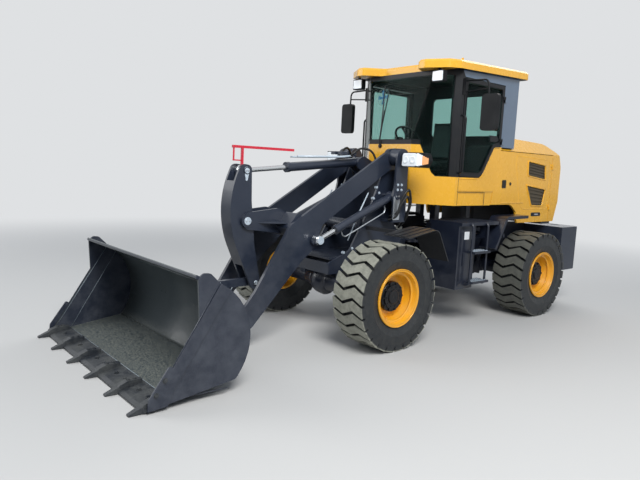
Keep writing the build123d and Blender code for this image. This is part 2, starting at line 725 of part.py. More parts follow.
# Cutting edge with its forged teeth, each a row of tapered wedges
TOOTH_HALF_SPAN = BUCKET_HALF - BUCKET_SIDE - 2.0 - TOOTH_W / 2
TOOTH_SECTIONS = (
    # y, half width, lowest and highest z
    (TOOTH_TIP_Y, 19.0, 3.0, 14.0),
    (TOOTH_TIP_Y + 95, 25.0, 3.0, 52.0),
    (TOOTH_TIP_Y + 105, TOOTH_W / 2, 3.0, 66.0),
    (TOOTH_TIP_Y + 165, TOOTH_W / 2, 4.0, 90.0),
    (TOOTH_TIP_Y + 285, TOOTH_W / 2 - 6, 48.0, 86.0),
)
with BuildPart() as cutting_edge:
    slab_x(
        (
            (EDGE_FRONT_Y, 8.0),
            (EDGE_FRONT_Y, 20.0),
            (EDGE_FRONT_Y + 30, 34.0),
            (EDGE_BACK_Y - SEAT, 58.0),
            (EDGE_BACK_Y - SEAT, 34.0),
        ),
        -BUCKET_HALF + BUCKET_SIDE + SEAT,
        BUCKET_HALF - BUCKET_SIDE - SEAT,
    )
    for number in range(TOOTH_COUNT):
        x = (TOOTH_HALF_SPAN - 1.0) * (2 * number / (TOOTH_COUNT - 1) - 1)
        for near, far in zip(TOOTH_SECTIONS, TOOTH_SECTIONS[1:]):
            with BuildPart(mode=Mode.PRIVATE) as wedge:
                for y, half, low, high in (near, far):
                    with BuildSketch(Plane.XZ.offset(-y)):
                        with Locations((x, (low + high) / 2)):
                            Rectangle(2 * half, high - low)
                loft(ruled=True)
            add(wedge.part)
save(cutting_edge, "cutting_edge")


# Length of each rod inside its barrel at rest, longer than the rod's travel out of it
ROD_HELD = {"lift_left": 640.0, "lift_right": 640.0, "tilt": 480.0}


def along(start, end, distance):
    """Return the (y, z) point at a distance from start towards end."""
    length = hypot(end[0] - start[0], end[1] - start[1])
    share = distance / length
    return (start[0] + (end[0] - start[0]) * share, start[1] + (end[1] - start[1]) * share)


def beside(start, end, distance, offset):
    """Return the (y, z) point at a distance from start towards end and an offset over the line."""
    y, z = along(start, end, distance)
    length = hypot(end[0] - start[0], end[1] - start[1])
    return (y + (end[1] - start[1]) / length * offset, z - (end[0] - start[0]) / length * offset)


PIPE_DROP = -125.0
PIPE_BEND = 45.0
PIPE_NEAR = LIFT_BARREL_LEN - 80.0
PIPE_FAR = 150.0
pipe_in = 12.0 - LIFT_BARREL_R
CYLINDERS = (
    # name, centre x, base (y, z), rod pin (y, z), barrel radius and length, rod radius,
    # base and rod eye half widths, pipe offset
    (
        "lift_left",
        LIFT_X,
        LIFT_BASE,
        LIFT_ROD_PIN,
        LIFT_BARREL_R,
        LIFT_BARREL_LEN,
        LIFT_ROD_R,
        45.0,
        25.0,
        PIPE_DROP,
    ),
    (
        "lift_right",
        -LIFT_X,
        LIFT_BASE,
        LIFT_ROD_PIN,
        LIFT_BARREL_R,
        LIFT_BARREL_LEN,
        LIFT_ROD_R,
        45.0,
        25.0,
        PIPE_DROP,
    ),
    (
        "tilt",
        0.0,
        TILT_BASE,
        CRANK_TOP,
        TILT_BARREL_R,
        TILT_BARREL_LEN,
        TILT_ROD_R,
        TILT_EYE_HALF,
        CRANK_X - 4,
        0.0,
    ),
)
for name, x, base, tip, barrel_r, barrel_len, rod_r, base_half, tip_half, pipe in CYLINDERS:
    length = hypot(tip[0] - base[0], tip[1] - base[1])
    barrel_end = along(base, tip, barrel_len)
    with BuildPart() as barrel:
        bar((x, *along(base, tip, 40)), (x, *barrel_end), barrel_r)
        bar((x, *along(base, tip, barrel_len - GLAND_LEN)), (x, *barrel_end), barrel_r + GLAND_LIP)
        pin_x(base, x - base_half, x + base_half, 52)
        if pipe:
            route = ((PIPE_NEAR, pipe_in), (PIPE_NEAR, pipe), (PIPE_FAR, pipe), (PIPE_FAR, pipe_in))
            tube([(x, *beside(base, tip, at, under)) for at, under in route], PIPE_R, [PIPE_BEND, PIPE_BEND])
        bar((x, *along(base, tip, 100)), (x, *barrel_end), rod_r + PIN_CLEAR, Mode.SUBTRACT)
        pin_x(base, x - 60, x + 60, 26 + PIN_CLEAR, Mode.SUBTRACT)
    save(barrel, f"{name}_barrel")
    with BuildPart() as rod:
        bar((x, *along(base, tip, barrel_len - ROD_HELD[name])), (x, *along(base, tip, length - 20)), rod_r)
        pin_x(tip, x - tip_half, x + tip_half, 50)
        if x:
            outward = copysign(1, x)
            pin_x(tip, x + outward * tip_half, x + outward * (tip_half + 12), 40)
        else:
            pin_x(tip, -70, 70, LINK_PIN_R, Mode.SUBTRACT)
    save(rod, f"{name}_rod")
print("pipes on the barrels: radius", PIPE_R, "bends", PIPE_BEND)

# Steering cylinders lie level between the rear frame and the front frame
for side, tag in ((1, "left"), (-1, "right")):
    rear = Vector(side * STEER_X, STEER_REAR_Y, STEER_Z)
    front = Vector(side * STEER_FRONT[0], STEER_FRONT[1], STEER_Z)
    way = (front - rear).normalized()
    total = (front - rear).length
    with BuildPart() as steer_barrel:
        bar(tuple(rear), tuple(rear + way * 70), 22)
        bar(tuple(rear + way * 64), tuple(rear + way * STEER_BARREL_LEN), STEER_BARREL_R)
        with Locations(tuple(rear)):
            Cylinder(40, 50)
            Cylinder(20 + PIN_CLEAR, 60, mode=Mode.SUBTRACT)
        bar(
            tuple(rear + way * 76),
            tuple(rear + way * STEER_BARREL_LEN),
            STEER_ROD_R + PIN_CLEAR,
            Mode.SUBTRACT,
        )
    save(steer_barrel, f"steer_{tag}_barrel")
    with BuildPart() as steer_rod:
        bar(tuple(rear + way * STEER_ROD_START), tuple(rear + way * (total - 20)), STEER_ROD_R)
        with Locations(tuple(front)):
            Cylinder(36, 50)
    save(steer_rod, f"steer_{tag}_rod")

# Rear frame: side rails, hinge forks, cross members, cab mounts and axle trunnions
with BuildPart() as rear_chassis:
    for side in (1, -1):
        slab_x(
            (
                (RAIL_FRONT_Y, 430.0),
                (RAIL_FRONT_Y, 1060.0),
                (2300.0, 1060.0),
                (2300.0, 1120.0),
                (WEIGHT_FRONT_Y, 1120.0),
                (WEIGHT_FRONT_Y, 640.0),
                (2350.0, 720.0),
                (1780.0, 720.0),
                (1600.0, 500.0),
                (1300.0, 430.0),
            ),
            *mirrored(side, RAIL_X, RAIL_X + RAIL_PLATE),
        )
        # Longitudinal cab beams with their mounts
        block(*mirrored(side, RAIL_X, RAIL_X + 80), BEAM_FRONT_Y, 1420, 1060, 1160)
        block(*mirrored(side, RAIL_X, RAIL_X + 80), 700, 780, 1160, CAB_BASE_Z)
        block(*mirrored(side, RAIL_X, RAIL_X + 80), 1320, 1400, 1160, CAB_BASE_Z)
    for y in (1290.0, 1560.0, 2600.0):
        block(-RAIL_X, RAIL_X, y, y + 24, 720, 1040)
    for y in (1800.0, 2250.0):
        block(-RAIL_X - RAIL_PLATE, RAIL_X + RAIL_PLATE, y, y + 60, 1060, 1120)
    block(
        -HOOD_X + 40,
        HOOD_X - 40,
        ENGINE_DOOR_REAR_Y - 100,
        ENGINE_DOOR_REAR_Y + 130,
        1120,
        HOOD_BOTTOM_Z - SEAT,
    )
    # Fork plates over and under both lugs
    for low in (LOWER_LUG_Z, UPPER_LUG_Z):
        for z in (low - SIDE_CLEAR - FORK_PLATE, low + LUG_PLATE + SIDE_CLEAR):
            slab_z(
                (
                    (-LUG_NOSE_R, PIVOT_Y),
                    (LUG_NOSE_R, PIVOT_Y),
                    (RAIL_X, 1010),
                    (RAIL_X, 1290),
                    (-RAIL_X, 1290),
                    (-RAIL_X, 1010),
                ),
                z,
                z + FORK_PLATE,
            )
            with Locations((0, PIVOT_Y, z + FORK_PLATE / 2)):
                Cylinder(LUG_NOSE_R, FORK_PLATE)
    for low in (LOWER_LUG_Z, UPPER_LUG_Z):
        bar(
            (0, PIVOT_Y, low - FORK_PLATE - 8),
            (0, PIVOT_Y, low + LUG_PLATE + FORK_PLATE + 8),
            PIVOT_PIN_R,
        )
    block(-RAIL_X, RAIL_X, 1270, 1290, 430, 1000)
    # Axle trunnion plates
    for y in (REAR_AXLE_Y - 250 + SIDE_CLEAR, REAR_AXLE_Y + 330 - 40):
        block(-RAIL_X, RAIL_X, y, y + 30, 440, 900)
    bar((0, REAR_AXLE_Y - 300, AXLE_Z), (0, REAR_AXLE_Y + 400, AXLE_Z), 62 + SEAT, Mode.SUBTRACT)
    # Steering pins and brackets
    for side in (1, -1):
        for low in (STEER_Z - 64, STEER_Z + 26):
            block(*mirrored(side, STEER_X - 45, STEER_X + 45), STEER_REAR_Y - 40, 1280, low, low + 38)
        bar((side * STEER_X, STEER_REAR_Y, STEER_Z - 50), (side * STEER_X, STEER_REAR_Y, STEER_Z + 50), 20)
save(rear_chassis, "rear_chassis")

# Counterweight with cut corners, pockets and a drawbar slot
with BuildPart() as counterweight:
    slab_x(
        (
            (WEIGHT_FRONT_Y, WEIGHT_BOTTOM_Z + 60),
            (WEIGHT_FRONT_Y, WEIGHT_TOP_Z),
            (WEIGHT_REAR_Y, WEIGHT_TOP_Z, 25.0),
            (WEIGHT_REAR_Y, WEIGHT_BOTTOM_Z + 50),
            (WEIGHT_REAR_Y - 70, WEIGHT_BOTTOM_Z),
            (WEIGHT_FRONT_Y + 60, WEIGHT_BOTTOM_Z),
        ),
        -WEIGHT_HALF,
        WEIGHT_HALF,
    )
    for side in (1, -1):
        slab_z(
            turned(
                side,
                (
                    (WEIGHT_HALF + 1, WEIGHT_REAR_Y - WEIGHT_CHAMFER),
                    (WEIGHT_HALF + 1, WEIGHT_REAR_Y + 1),
                    (WEIGHT_HALF - WEIGHT_CHAMFER, WEIGHT_REAR_Y + 1),
                ),
            ),
            WEIGHT_BOTTOM_Z - 1,
            WEIGHT_TOP_Z + 1,
            Mode.SUBTRACT,
        )
        # Lifting pockets in the top and lamp pockets in the back
        block(*mirrored(side, 560, 700), 3120, 3200, WEIGHT_TOP_Z - 40, WEIGHT_TOP_Z + 1, Mode.SUBTRACT)
        block(*mirrored(side, 600, 800), WEIGHT_REAR_Y - 30, WEIGHT_REAR_Y + 1, 880, 980, Mode.SUBTRACT)
    block(-90, 90, WEIGHT_REAR_Y - 160, WEIGHT_REAR_Y + 1, 700, 790, Mode.SUBTRACT)
    bar((0, WEIGHT_REAR_Y - 80, 640), (0, WEIGHT_REAR_Y - 80, WEIGHT_TOP_Z), TOW_PIN_R, Mode.SUBTRACT)
save(counterweight, "counterweight")

# Side boxes, decks and ladders of bent tube with plate steps
LADDER_Y = (780.0, 1080.0)
LADDER_BEND = 36.0
STEP_Z = (500.0, 850.0)
for side, tag in ((1, "left"), (-1, "right")):
    with BuildPart() as side_box:
        block(
            *mirrored(side, BOX_IN_X, BOX_OUT_X),
            BOX_FRONT_Y,
            BOX_REAR_Y,
            BOX_BOTTOM_Z,
            DECK_TOP_Z - DECK_T,
        )
        block(
            *mirrored(side, RAIL_X + 80, DECK_OUT_X),
            BOX_FRONT_Y,
            DECK_REAR_Y,
            DECK_TOP_Z - DECK_T,
            DECK_TOP_Z,
        )
        block(*mirrored(side, RAIL_X + RAIL_PLATE, DECK_OUT_X), 1100, 1140, 1010, 1050)
        block(*mirrored(side, 780, DECK_OUT_X), 1100, 1140, 1050, DECK_TOP_Z - DECK_T)
        block(*mirrored(side, BOX_OUT_X, BOX_OUT_X + 6), 640, 900, 470, 1120)
        for y in LADDER_Y:
            tube(
                turned(
                    side,
                    (
                        (800, y, DECK_TOP_Z - DECK_T / 2),
                        (LADDER_X, y, DECK_TOP_Z - DECK_T / 2),
                        (LADDER_X, y, 480),
                        (820, y, 480),
                    ),
                ),
                LADDER_R,
                [LADDER_BEND, LADDER_BEND],
            )
        for z in STEP_Z:
            block(*mirrored(side, 800, 960), LADDER_Y[0] - 6, LADDER_Y[1] + 6, z, z + 25)
    save(side_box, f"side_box_{tag}")

# Rear fenders: folded sheet with a deeper outer lip
REAR_FENDER = (
    (1190.0, 890.0),
    (1400.0, 1266.0, 90.0),
    (1880.0, 1272.0),
    (1880.0, 1262.0),
    (1406.0, 1256.0, 80.0),
    (1199.0, 885.0),
)
REAR_FENDER_LIP = (
    (1190.0, 890.0),
    (1400.0, 1266.0, 90.0),
    (1880.0, 1272.0),
    (1880.0, 1236.0),
    (1421.0, 1230.0, 60.0),
    (1221.0, 873.0),
)
with BuildPart() as rear_fenders:
    for side in (1, -1):
        slab_x(REAR_FENDER, *mirrored(side, 720, 950))
        slab_x(REAR_FENDER_LIP, *mirrored(side, 940, 950))
        block(*mirrored(side, RAIL_X + RAIL_PLATE + SEAT, 900), 1420, 1450, 1010, 1050)
        block(*mirrored(side, 720, 750), 1420, 1450, 1050, 1266)
save(rear_fenders, "rear_fenders")

# Engine and radiator, closed in by the hood
with BuildPart() as engine_block:
    block(-260, 260, 1700, 2560, 1120 + SEAT, 1900)
    block(-420, 420, ENGINE_DOOR_REAR_Y - 90, ENGINE_DOOR_REAR_Y, HOOD_BOTTOM_Z, 1950)
    block(-30, 30, 2560, ENGINE_DOOR_REAR_Y - 90, 1300, 1360)
save(engine_block, "engine_block")

# Cab lower shell: cowl, corner panels, and side panels that end along a leaning seam
CAB_PLAN = (
    (CAB_FRONT_X, CAB_FRONT_Y),
    (CAB_SIDE_X, CAB_CORNER_Y),
    (CAB_SIDE_X, CAB_STEP_Y),
    (-CAB_SIDE_X, CAB_STEP_Y),
    (-CAB_SIDE_X, CAB_CORNER_Y),
    (-CAB_FRONT_X, CAB_FRONT_Y),
)
CAB_INSIDE = (
    (CAB_FRONT_X - 12, CAB_FRONT_Y + CAB_WALL),
    (CAB_SIDE_X - CAB_WALL, CAB_CORNER_Y + 12),
    (CAB_SIDE_X - CAB_WALL, CAB_STEP_Y),
    (-CAB_SIDE_X + CAB_WALL, CAB_STEP_Y),
    (-CAB_SIDE_X + CAB_WALL, CAB_CORNER_Y + 12),
    (-CAB_FRONT_X + 12, CAB_FRONT_Y + CAB_WALL),
)
COWL_REAR_Y = 342.0
SHELL_RIM = (
    # top edge of the shell from the cowl back to the door's rear post
    (COWL_REAR_Y, COWL_TOP_Z),
    (430.0, 1750.0),
    (458.0, CAB_SILL_Z),
    (1043.0, CAB_SILL_Z),
    (1122.0, 1763.0),
    (1312.0, 2062.0),
    (CAB_STEP_Y - CAB_WALL, CAB_STEP_Z - SEAT),
)
CREASE_Z = (1535.0, 1560.0)
CREASE = 10.0


def seam_y(z):
    """Return where the leaning seam between cab and hood lies at a height."""
    return CAB_STEP_Y - (CAB_STEP_Z - z) * HOOD_SEAM_SLOPE


with BuildPart() as cab_shell:
    slab_z(CAB_PLAN, CAB_BASE_Z + SEAT, CAB_STEP_Z - SEAT)
    slab_z(CAB_INSIDE, CAB_BASE_Z + CAB_WALL, CAB_STEP_Z, Mode.SUBTRACT)
    slab_x(
        (
            (seam_y(CAB_BASE_Z) - CAB_WALL, CAB_BASE_Z + SEAT),
            (seam_y(CAB_STEP_Z) - CAB_WALL, CAB_STEP_Z - SEAT),
            (CAB_STEP_Y, CAB_STEP_Z - SEAT),
            (CAB_STEP_Y, CAB_BASE_Z + SEAT),
        ),
        -CAB_SIDE_X,
        CAB_SIDE_X,
    )
    slab_x(
        (
            (seam_y(CAB_BASE_Z - 50), CAB_BASE_Z - 50),
            (seam_y(CAB_STEP_Z), CAB_STEP_Z),
            (CAB_STEP_Y + 20, CAB_STEP_Z),
            (CAB_STEP_Y + 20, CAB_BASE_Z - 50),
        ),
        -CAB_SIDE_X - 10,
        CAB_SIDE_X + 10,
        Mode.SUBTRACT,
    )
    slab_x(
        (
            (CAB_FRONT_Y - 10, COWL_TOP_Z),
            *SHELL_RIM,
            (CAB_STEP_Y + 10, CAB_STEP_Z + 20),
            (CAB_FRONT_Y - 10, CAB_STEP_Z + 20),
        ),
        -CAB_SIDE_X - 10,
        CAB_SIDE_X + 10,
        Mode.SUBTRACT,
    )
    # The side panels step in below a crease
    for side in (1, -1):
        slab_y(
            turned(
                side,
                (
                    (CAB_SIDE_X + 10, CREASE_Z[1]),
                    (CAB_SIDE_X, CREASE_Z[1]),
                    (CAB_SIDE_X - CREASE, CREASE_Z[0]),
                    (CAB_SIDE_X - CREASE, CAB_BASE_Z - 1),
                    (CAB_SIDE_X + 10, CAB_BASE_Z - 1),
                ),
            ),
            DOOR_FRONT_Y,
            CAB_STEP_Y + 10,
            Mode.SUBTRACT,
        )
save(cab_shell, "cab_shell")

# Cab frame: posts, rails and the rear wall under a roof that rises to the back
SCREEN_LEAN = (SCREEN_TOP_Y - CAB_FRONT_Y) / (CAB_TOP_Z - COWL_TOP_Z)
CORNER_RUN = (CAB_SIDE_X - CAB_FRONT_X) / (CAB_CORNER_Y - CAB_FRONT_Y)
RAIL_Z = CAB_TOP_Z - POST


def roof_z(y):
    """Return the height of the roof's underside."""
    return CAB_TOP_Z + (y - CAB_CORNER_Y) * ROOF_SLOPE


def screen_y(z):
    """Return where the raked windshield's face lies at a height."""
    return CAB_FRONT_Y + (z - COWL_TOP_Z) * SCREEN_LEAN


def corner(y, inward=0.0):
    """Return the (x, y) point of the slanted corner plane at y, moved in along its normal."""
    length = hypot(1, CORNER_RUN)
    return (CAB_FRONT_X + (y - CAB_FRONT_Y) * CORNER_RUN - inward / length, y + inward * CORNER_RUN / length)


POST_PLAN = (
    (CAB_SIDE_X, DOOR_FRONT_Y - GAP),
    (CAB_SIDE_X, CAB_CORNER_Y),
    corner(551.0),
    corner(535.0, 34.0),
    (CAB_SIDE_X - POST, CAB_CORNER_Y + 12),
    (CAB_SIDE_X - POST, DOOR_FRONT_Y - GAP),
)
GRAB_Y = DOOR_FRONT_Y - 23.0
GRAB_X = CAB_SIDE_X + 55.0
GRAB_Z = (CAB_SILL_Z + 48, 2400.0)
GRAB_BEND = 45.0
REAR_WINDOW = (
    (-560.0, 2250.0, 60.0),
    (560.0, 2250.0, 60.0),
    (560.0, CAB_TOP_Z - 133, 60.0),
    (-560.0, CAB_TOP_Z - 133, 60.0),
)
with BuildPart() as cab_frame:
    for side in (1, -1):
        inner, outer = CAB_SIDE_X - POST, CAB_SIDE_X
        slab_z(turned(side, POST_PLAN), CAB_SILL_Z + SEAT, CAB_TOP_Z + POST)
        block(*mirrored(side, inner, outer), DOOR_REAR_Y + GAP, CAB_REAR_Y, CAB_STEP_Z, CAB_TOP_Z + POST)
        block(
            *mirrored(side, inner, outer),
            CAB_CORNER_Y + 5,
            CAB_REAR_Y,
            DOOR_TOP_Z + GAP,
            CAB_TOP_Z + POST,
        )
        front = screen_y(RAIL_Z)
        slab_z(
            turned(
                side,
                (
                    (0, front),
                    corner(front),
                    corner(560.0),
                    corner(540.0, POST),
                    corner(front, POST),
                    (0, front + POST),
                ),
            ),
            RAIL_Z,
            CAB_TOP_Z,
        )
        # Lower rail of the windshield, returned along the corner
        slab_z(
            turned(
                side,
                (
                    (0, CAB_FRONT_Y),
                    (CAB_FRONT_X, CAB_FRONT_Y),
                    corner(COWL_REAR_Y),
                    corner(COWL_REAR_Y - 10, CAB_WALL - 4),
                    (CAB_FRONT_X - 12, CAB_FRONT_Y + CAB_WALL - 4),
                    (0, CAB_FRONT_Y + CAB_WALL - 4),
                ),
            ),
            COWL_TOP_Z + SEAT,
            COWL_TOP_Z + COWL_BAND,
        )
        tube(
            turned(
                side,
                (
                    (CAB_SIDE_X - 5, GRAB_Y, GRAB_Z[1]),
                    (GRAB_X, GRAB_Y, GRAB_Z[1]),
                    (GRAB_X, GRAB_Y, GRAB_Z[0]),
                    (CAB_SIDE_X - 5, GRAB_Y, GRAB_Z[0]),
                ),
            ),
            11.0,
            [GRAB_BEND, GRAB_BEND],
        )
        for z in DOOR_HINGE_Z:
            hinge_leaf(side, CAB_SIDE_X, DOOR_AXIS, z - LEAF_H, z - SEAT, 1)
    # Rear wall with its window, and the step over the hood
    block(-CAB_SIDE_X, CAB_SIDE_X, CAB_REAR_Y - CAB_WALL, CAB_REAR_Y, CAB_STEP_Z, CAB_TOP_Z + POST)
    slab_y(REAR_WINDOW, CAB_REAR_Y - 2 * CAB_WALL, CAB_REAR_Y + 10, Mode.SUBTRACT)
    block(-CAB_SIDE_X, CAB_SIDE_X, CAB_STEP_Y + GAP, CAB_REAR_Y, CAB_STEP_Z, CAB_STEP_Z + CAB_WALL)
    slab_x(
        ((200.0, roof_z(200)), (1800.0, roof_z(1800)), (1800.0, CAB_TOP_Z + 200), (200.0, CAB_TOP_Z + 200)),
        -CAB_SIDE_X - 10,
        CAB_SIDE_X + 10,
        Mode.SUBTRACT,
    )
save(cab_frame, "cab_frame")

# Cab roof: a thick sloping cap with two forward horns round a bay over the windshield
HALF_ROOF = (
    (293.0, 452.0, 40.0),
    (425.0, 202.0, 40.0),
    (525.0, 196.0, 50.0),
    (755.0, 345.0, 60.0),
    (ROOF_SIDE_X, 485.0, 60.0),
    (ROOF_SIDE_X, ROOF_REAR_Y, 70.0),
)
ROOF_CHAMFER = 22.0
with BuildPart() as cab_roof:
    slab_z((*HALF_ROOF, *reversed(turned(-1, HALF_ROOF))), CAB_TOP_Z - 60, CAB_TOP_Z + 200)
    for rise, reach, mode in ((SEAT, -200, Mode.SUBTRACT), (ROOF_T, 300, Mode.SUBTRACT)):
        slab_x(
            (
                (100.0, roof_z(100) + rise),
                (2000.0, roof_z(2000) + rise),
                (2000.0, roof_z(2000) + reach),
                (100.0, roof_z(100) + reach),
            ),
            -ROOF_SIDE_X - 10,
            ROOF_SIDE_X + 10,
            mode,
        )
    chamfer(cab_roof.faces().sort_by(Axis.Z)[-1].edges(), ROOF_CHAMFER)
save(cab_roof, "cab_roof")

# Fixed glass: the raked windshield, cut along the corner panes, and the rear window
PANE_SET = 2.0
with BuildPart() as cab_glass:
    low, high = COWL_TOP_Z + COWL_BAND + SEAT, RAIL_Z - SEAT
    slab_x(
        (
            (screen_y(low) + PANE_SET, low),
            (screen_y(high) + PANE_SET, high),
            (screen_y(high) + PANE_SET + GLASS_T, high),
            (screen_y(low) + PANE_SET + GLASS_T, low),
        ),
        -CAB_SIDE_X,
        CAB_SIDE_X,
    )
    for side in (1, -1):
        cut = PANE_SET + GLASS_T + 0.5
        slab_z(
            turned(
                side,
                (
                    corner(150.0, cut),
                    corner(CAB_CORNER_Y, cut),
                    (CAB_SIDE_X + 200, CAB_CORNER_Y),
                    (CAB_SIDE_X + 200, 150),
                ),
            ),
            low - 10,
            high + 10,
            Mode.SUBTRACT,
        )
    slab_y(REAR_WINDOW, CAB_REAR_Y - 10 - GLASS_T, CAB_REAR_Y - 10, inset=SEAT)
save(cab_glass, "cab_glass")

# Corner panes reach lower than the windshield
CORNER_REAR_Y = 545.0
with BuildPart() as corner_glass:
    for side in (1, -1):
        slab_z(
            turned(
                side,
                (
                    corner(CAB_FRONT_Y - 20, PANE_SET),
                    corner(CORNER_REAR_Y, PANE_SET),
                    corner(CORNER_REAR_Y, PANE_SET + GLASS_T),
                    corner(CAB_FRONT_Y - 20, PANE_SET + GLASS_T),
                ),
            ),
            CAB_SILL_Z + SEAT,
            RAIL_Z - SEAT,
        )
    slab_x(
        (
            (CAB_FRONT_Y - 60, CAB_SILL_Z - 20),
            (CAB_CORNER_Y, CAB_SILL_Z - 20),
            (CAB_CORNER_Y, CAB_SILL_Z + SEAT),
            (464.0, CAB_SILL_Z + SEAT),
            (436.0, 1754.0),
            (COWL_REAR_Y + 8, COWL_TOP_Z + 8),
            (COWL_REAR_Y + 8, low),
            (screen_y(low) + PANE_SET, low),
            (screen_y(high) + PANE_SET, high),
            (CAB_FRONT_Y - 60, high),
        ),
        -CAB_SIDE_X,
        CAB_SIDE_X,
        Mode.SUBTRACT,
    )
save(corner_glass, "corner_glass")

# Doors, hinged at their rear edge
DOOR_OUTLINE = (
    (DOOR_FRONT_Y, CAB_SILL_Z + GAP, 20.0),
    (1040.0, CAB_SILL_Z + GAP, 50.0),
    (1116.0, 1772.0),
    (1306.0, 2072.0),
    (DOOR_REAR_Y, CAB_STEP_Z + GAP),
    (DOOR_REAR_Y, DOOR_TOP_Z, 20.0),
    (DOOR_FRONT_Y, DOOR_TOP_Z, 20.0),
)
DOOR_WINDOW = (
    (DOOR_FRONT_Y + DOOR_BAR, CAB_SILL_Z + GAP + DOOR_BAR, 40.0),
    (1022.0, CAB_SILL_Z + GAP + DOOR_BAR, 40.0),
    (1078.0, 1800.0),
    (1280.0, 2118.0),
    (DOOR_REAR_Y - DOOR_BAR, 2140.0, 25.0),
    (DOOR_REAR_Y - DOOR_BAR, DOOR_TOP_Z - DOOR_BAR, 40.0),
    (DOOR_FRONT_Y + DOOR_BAR, DOOR_TOP_Z - DOOR_BAR, 40.0),
)
HANDLE = ((1192.0, 2146.0, 10.0), (1192.0, 2218.0, 10.0), (1342.0, 2218.0, 10.0), (1342.0, 2146.0, 10.0))
HANDLE_T = 12.0
for side, tag in ((1, "left"), (-1, "right")):
    x0, x1 = mirrored(side, CAB_SIDE_X + 3 - DOOR_T, CAB_SIDE_X + 3)
    middle = side * (CAB_SIDE_X + 3 - DOOR_T / 2)
    with BuildPart() as door:
        slab_x(DOOR_OUTLINE, x0, x1)
        slab_x(DOOR_WINDOW, x0 - 1, x1 + 1, Mode.SUBTRACT)
        slab_x(HANDLE, *mirrored(side, CAB_SIDE_X + 3 - HANDLE_T, CAB_SIDE_X + 3 + HANDLE_T))
        slab_x(
            (
                (1336.0, 2166.0),
                (DOOR_REAR_Y - DOOR_BAR + 5, 2166.0),
                (DOOR_REAR_Y - DOOR_BAR + 5, 2196.0),
                (1336.0, 2196.0),
            ),
            *mirrored(side, CAB_SIDE_X + 3 - HANDLE_T, CAB_SIDE_X + 3),
        )
        for z in DOOR_HINGE_Z:
            hinge_leaf(side, CAB_SIDE_X + 3, DOOR_AXIS, z, z + LEAF_H, -1)
    save(door, f"door_{tag}")
    with BuildPart() as door_glass:
        slab_x(DOOR_WINDOW, middle - GLASS_T / 2, middle + GLASS_T / 2, inset=SEAT)
    save(door_glass, f"door_glass_{tag}")

# Seat with a leaning back, and the steering column
CUSHION = ((905.0, 1780.0, 25.0), (890.0, 1890.0, 40.0), (1300.0, 1900.0, 20.0), (1310.0, 1780.0, 20.0))
SEAT_BACK = ((1270.0, 1880.0, 20.0), (1330.0, 2420.0, 40.0), (1410.0, 2420.0, 30.0), (1380.0, 1880.0, 20.0))
with BuildPart() as seat:
    slab_x(
        (
            (960.0, CAB_BASE_Z + CAB_WALL + SEAT),
            (980.0, 1790.0),
            (1270.0, 1790.0),
            (1290.0, CAB_BASE_Z + CAB_WALL + SEAT),
        ),
        -200,
        200,
    )
    slab_x(CUSHION, -240, 240)
    slab_x(SEAT_BACK, -230, 230)
save(seat, "seat")
WHEEL_CENTRE = (0.0, 610.0, 2150.0)
COLUMN = (
    (CAB_FRONT_Y + CAB_WALL + 20, CAB_BASE_Z + CAB_WALL),
    (CAB_FRONT_Y + CAB_WALL + 40, 2050.0, 20.0),
    (440.0, 2050.0, 40.0),
    (470.0, 1900.0, 40.0),
    (430.0, 1700.0),
    (430.0, CAB_BASE_Z + CAB_WALL),
)
with BuildPart() as steering_column:
    slab_x(COLUMN, -160, 160)
    bar((0, 440, 1980), (WHEEL_CENTRE[0], WHEEL_CENTRE[1] - 2, WHEEL_CENTRE[2] - 2), 30)
    with BuildSketch(Plane(origin=WHEEL_CENTRE, x_dir=(1, 0, 0), z_dir=(0, -1, 1))):
        with Locations((180, 0)):
            RegularPolygon(14, 8)
    revolve(axis=Axis(WHEEL_CENTRE, (0, 1, 1)))
    with Locations(Plane(origin=WHEEL_CENTRE, z_dir=(0, 1, 1))):
        Box(360, 30, 14)
save(steering_column, "steering_column")

# Hood: a fixed top and tail over hinged engine doors
HOOD_FRONT_Y = CAB_REAR_Y + GAP
HOOD_OUTLINE = (
    (CAB_STEP_Y + GAP, HOOD_SHOULDER_Z),
    (CAB_STEP_Y + GAP, CAB_STEP_Z - GAP),
    (HOOD_FRONT_Y, CAB_STEP_Z - GAP),
    (HOOD_FRONT_Y, 2222.0),
    (1790.0, HOOD_TOP_Z),
    (2700.0, 2205.0, 300.0),
    (2915.0, 2085.0, 160.0),
    (HOOD_REAR_Y, 1900.0, 200.0),
    (HOOD_REAR_Y, 1430.0, 60.0),
    (2896.0, HOOD_BOTTOM_Z),
    (ENGINE_DOOR_REAR_Y, HOOD_BOTTOM_Z),
    (ENGINE_DOOR_REAR_Y, HOOD_SHOULDER_Z),
)
HOOD_HOLLOW = (
    (CAB_STEP_Y + GAP + 20, HOOD_SHOULDER_Z - 30),
    (CAB_STEP_Y + GAP + 20, CAB_STEP_Z - GAP - 20),
    (HOOD_FRONT_Y + 20, CAB_STEP_Z - GAP - 20),
    (HOOD_FRONT_Y + 20, 2204.0),
    (1795.0, HOOD_TOP_Z - 20),
    (2692.0, 2183.0, 280.0),
    (2900.0, 2068.0, 140.0),
    (HOOD_REAR_Y - 20, 1893.0, 180.0),
    (HOOD_REAR_Y - 20, 1434.0, 40.0),
    (2872.0, HOOD_BOTTOM_Z - 10),
    (ENGINE_DOOR_REAR_Y - 10, HOOD_BOTTOM_Z - 10),
)
HOOD_BEVEL = (
    (HOOD_X + 10, HOOD_SHOULDER_Z - 10),
    (HOOD_X + 10, 2300),
    (490, 2300),
    (HOOD_X - 165, HOOD_TOP_Z),
)
REAR_VENT = (1450.0, 1800.0)
REAR_SLATS = 6
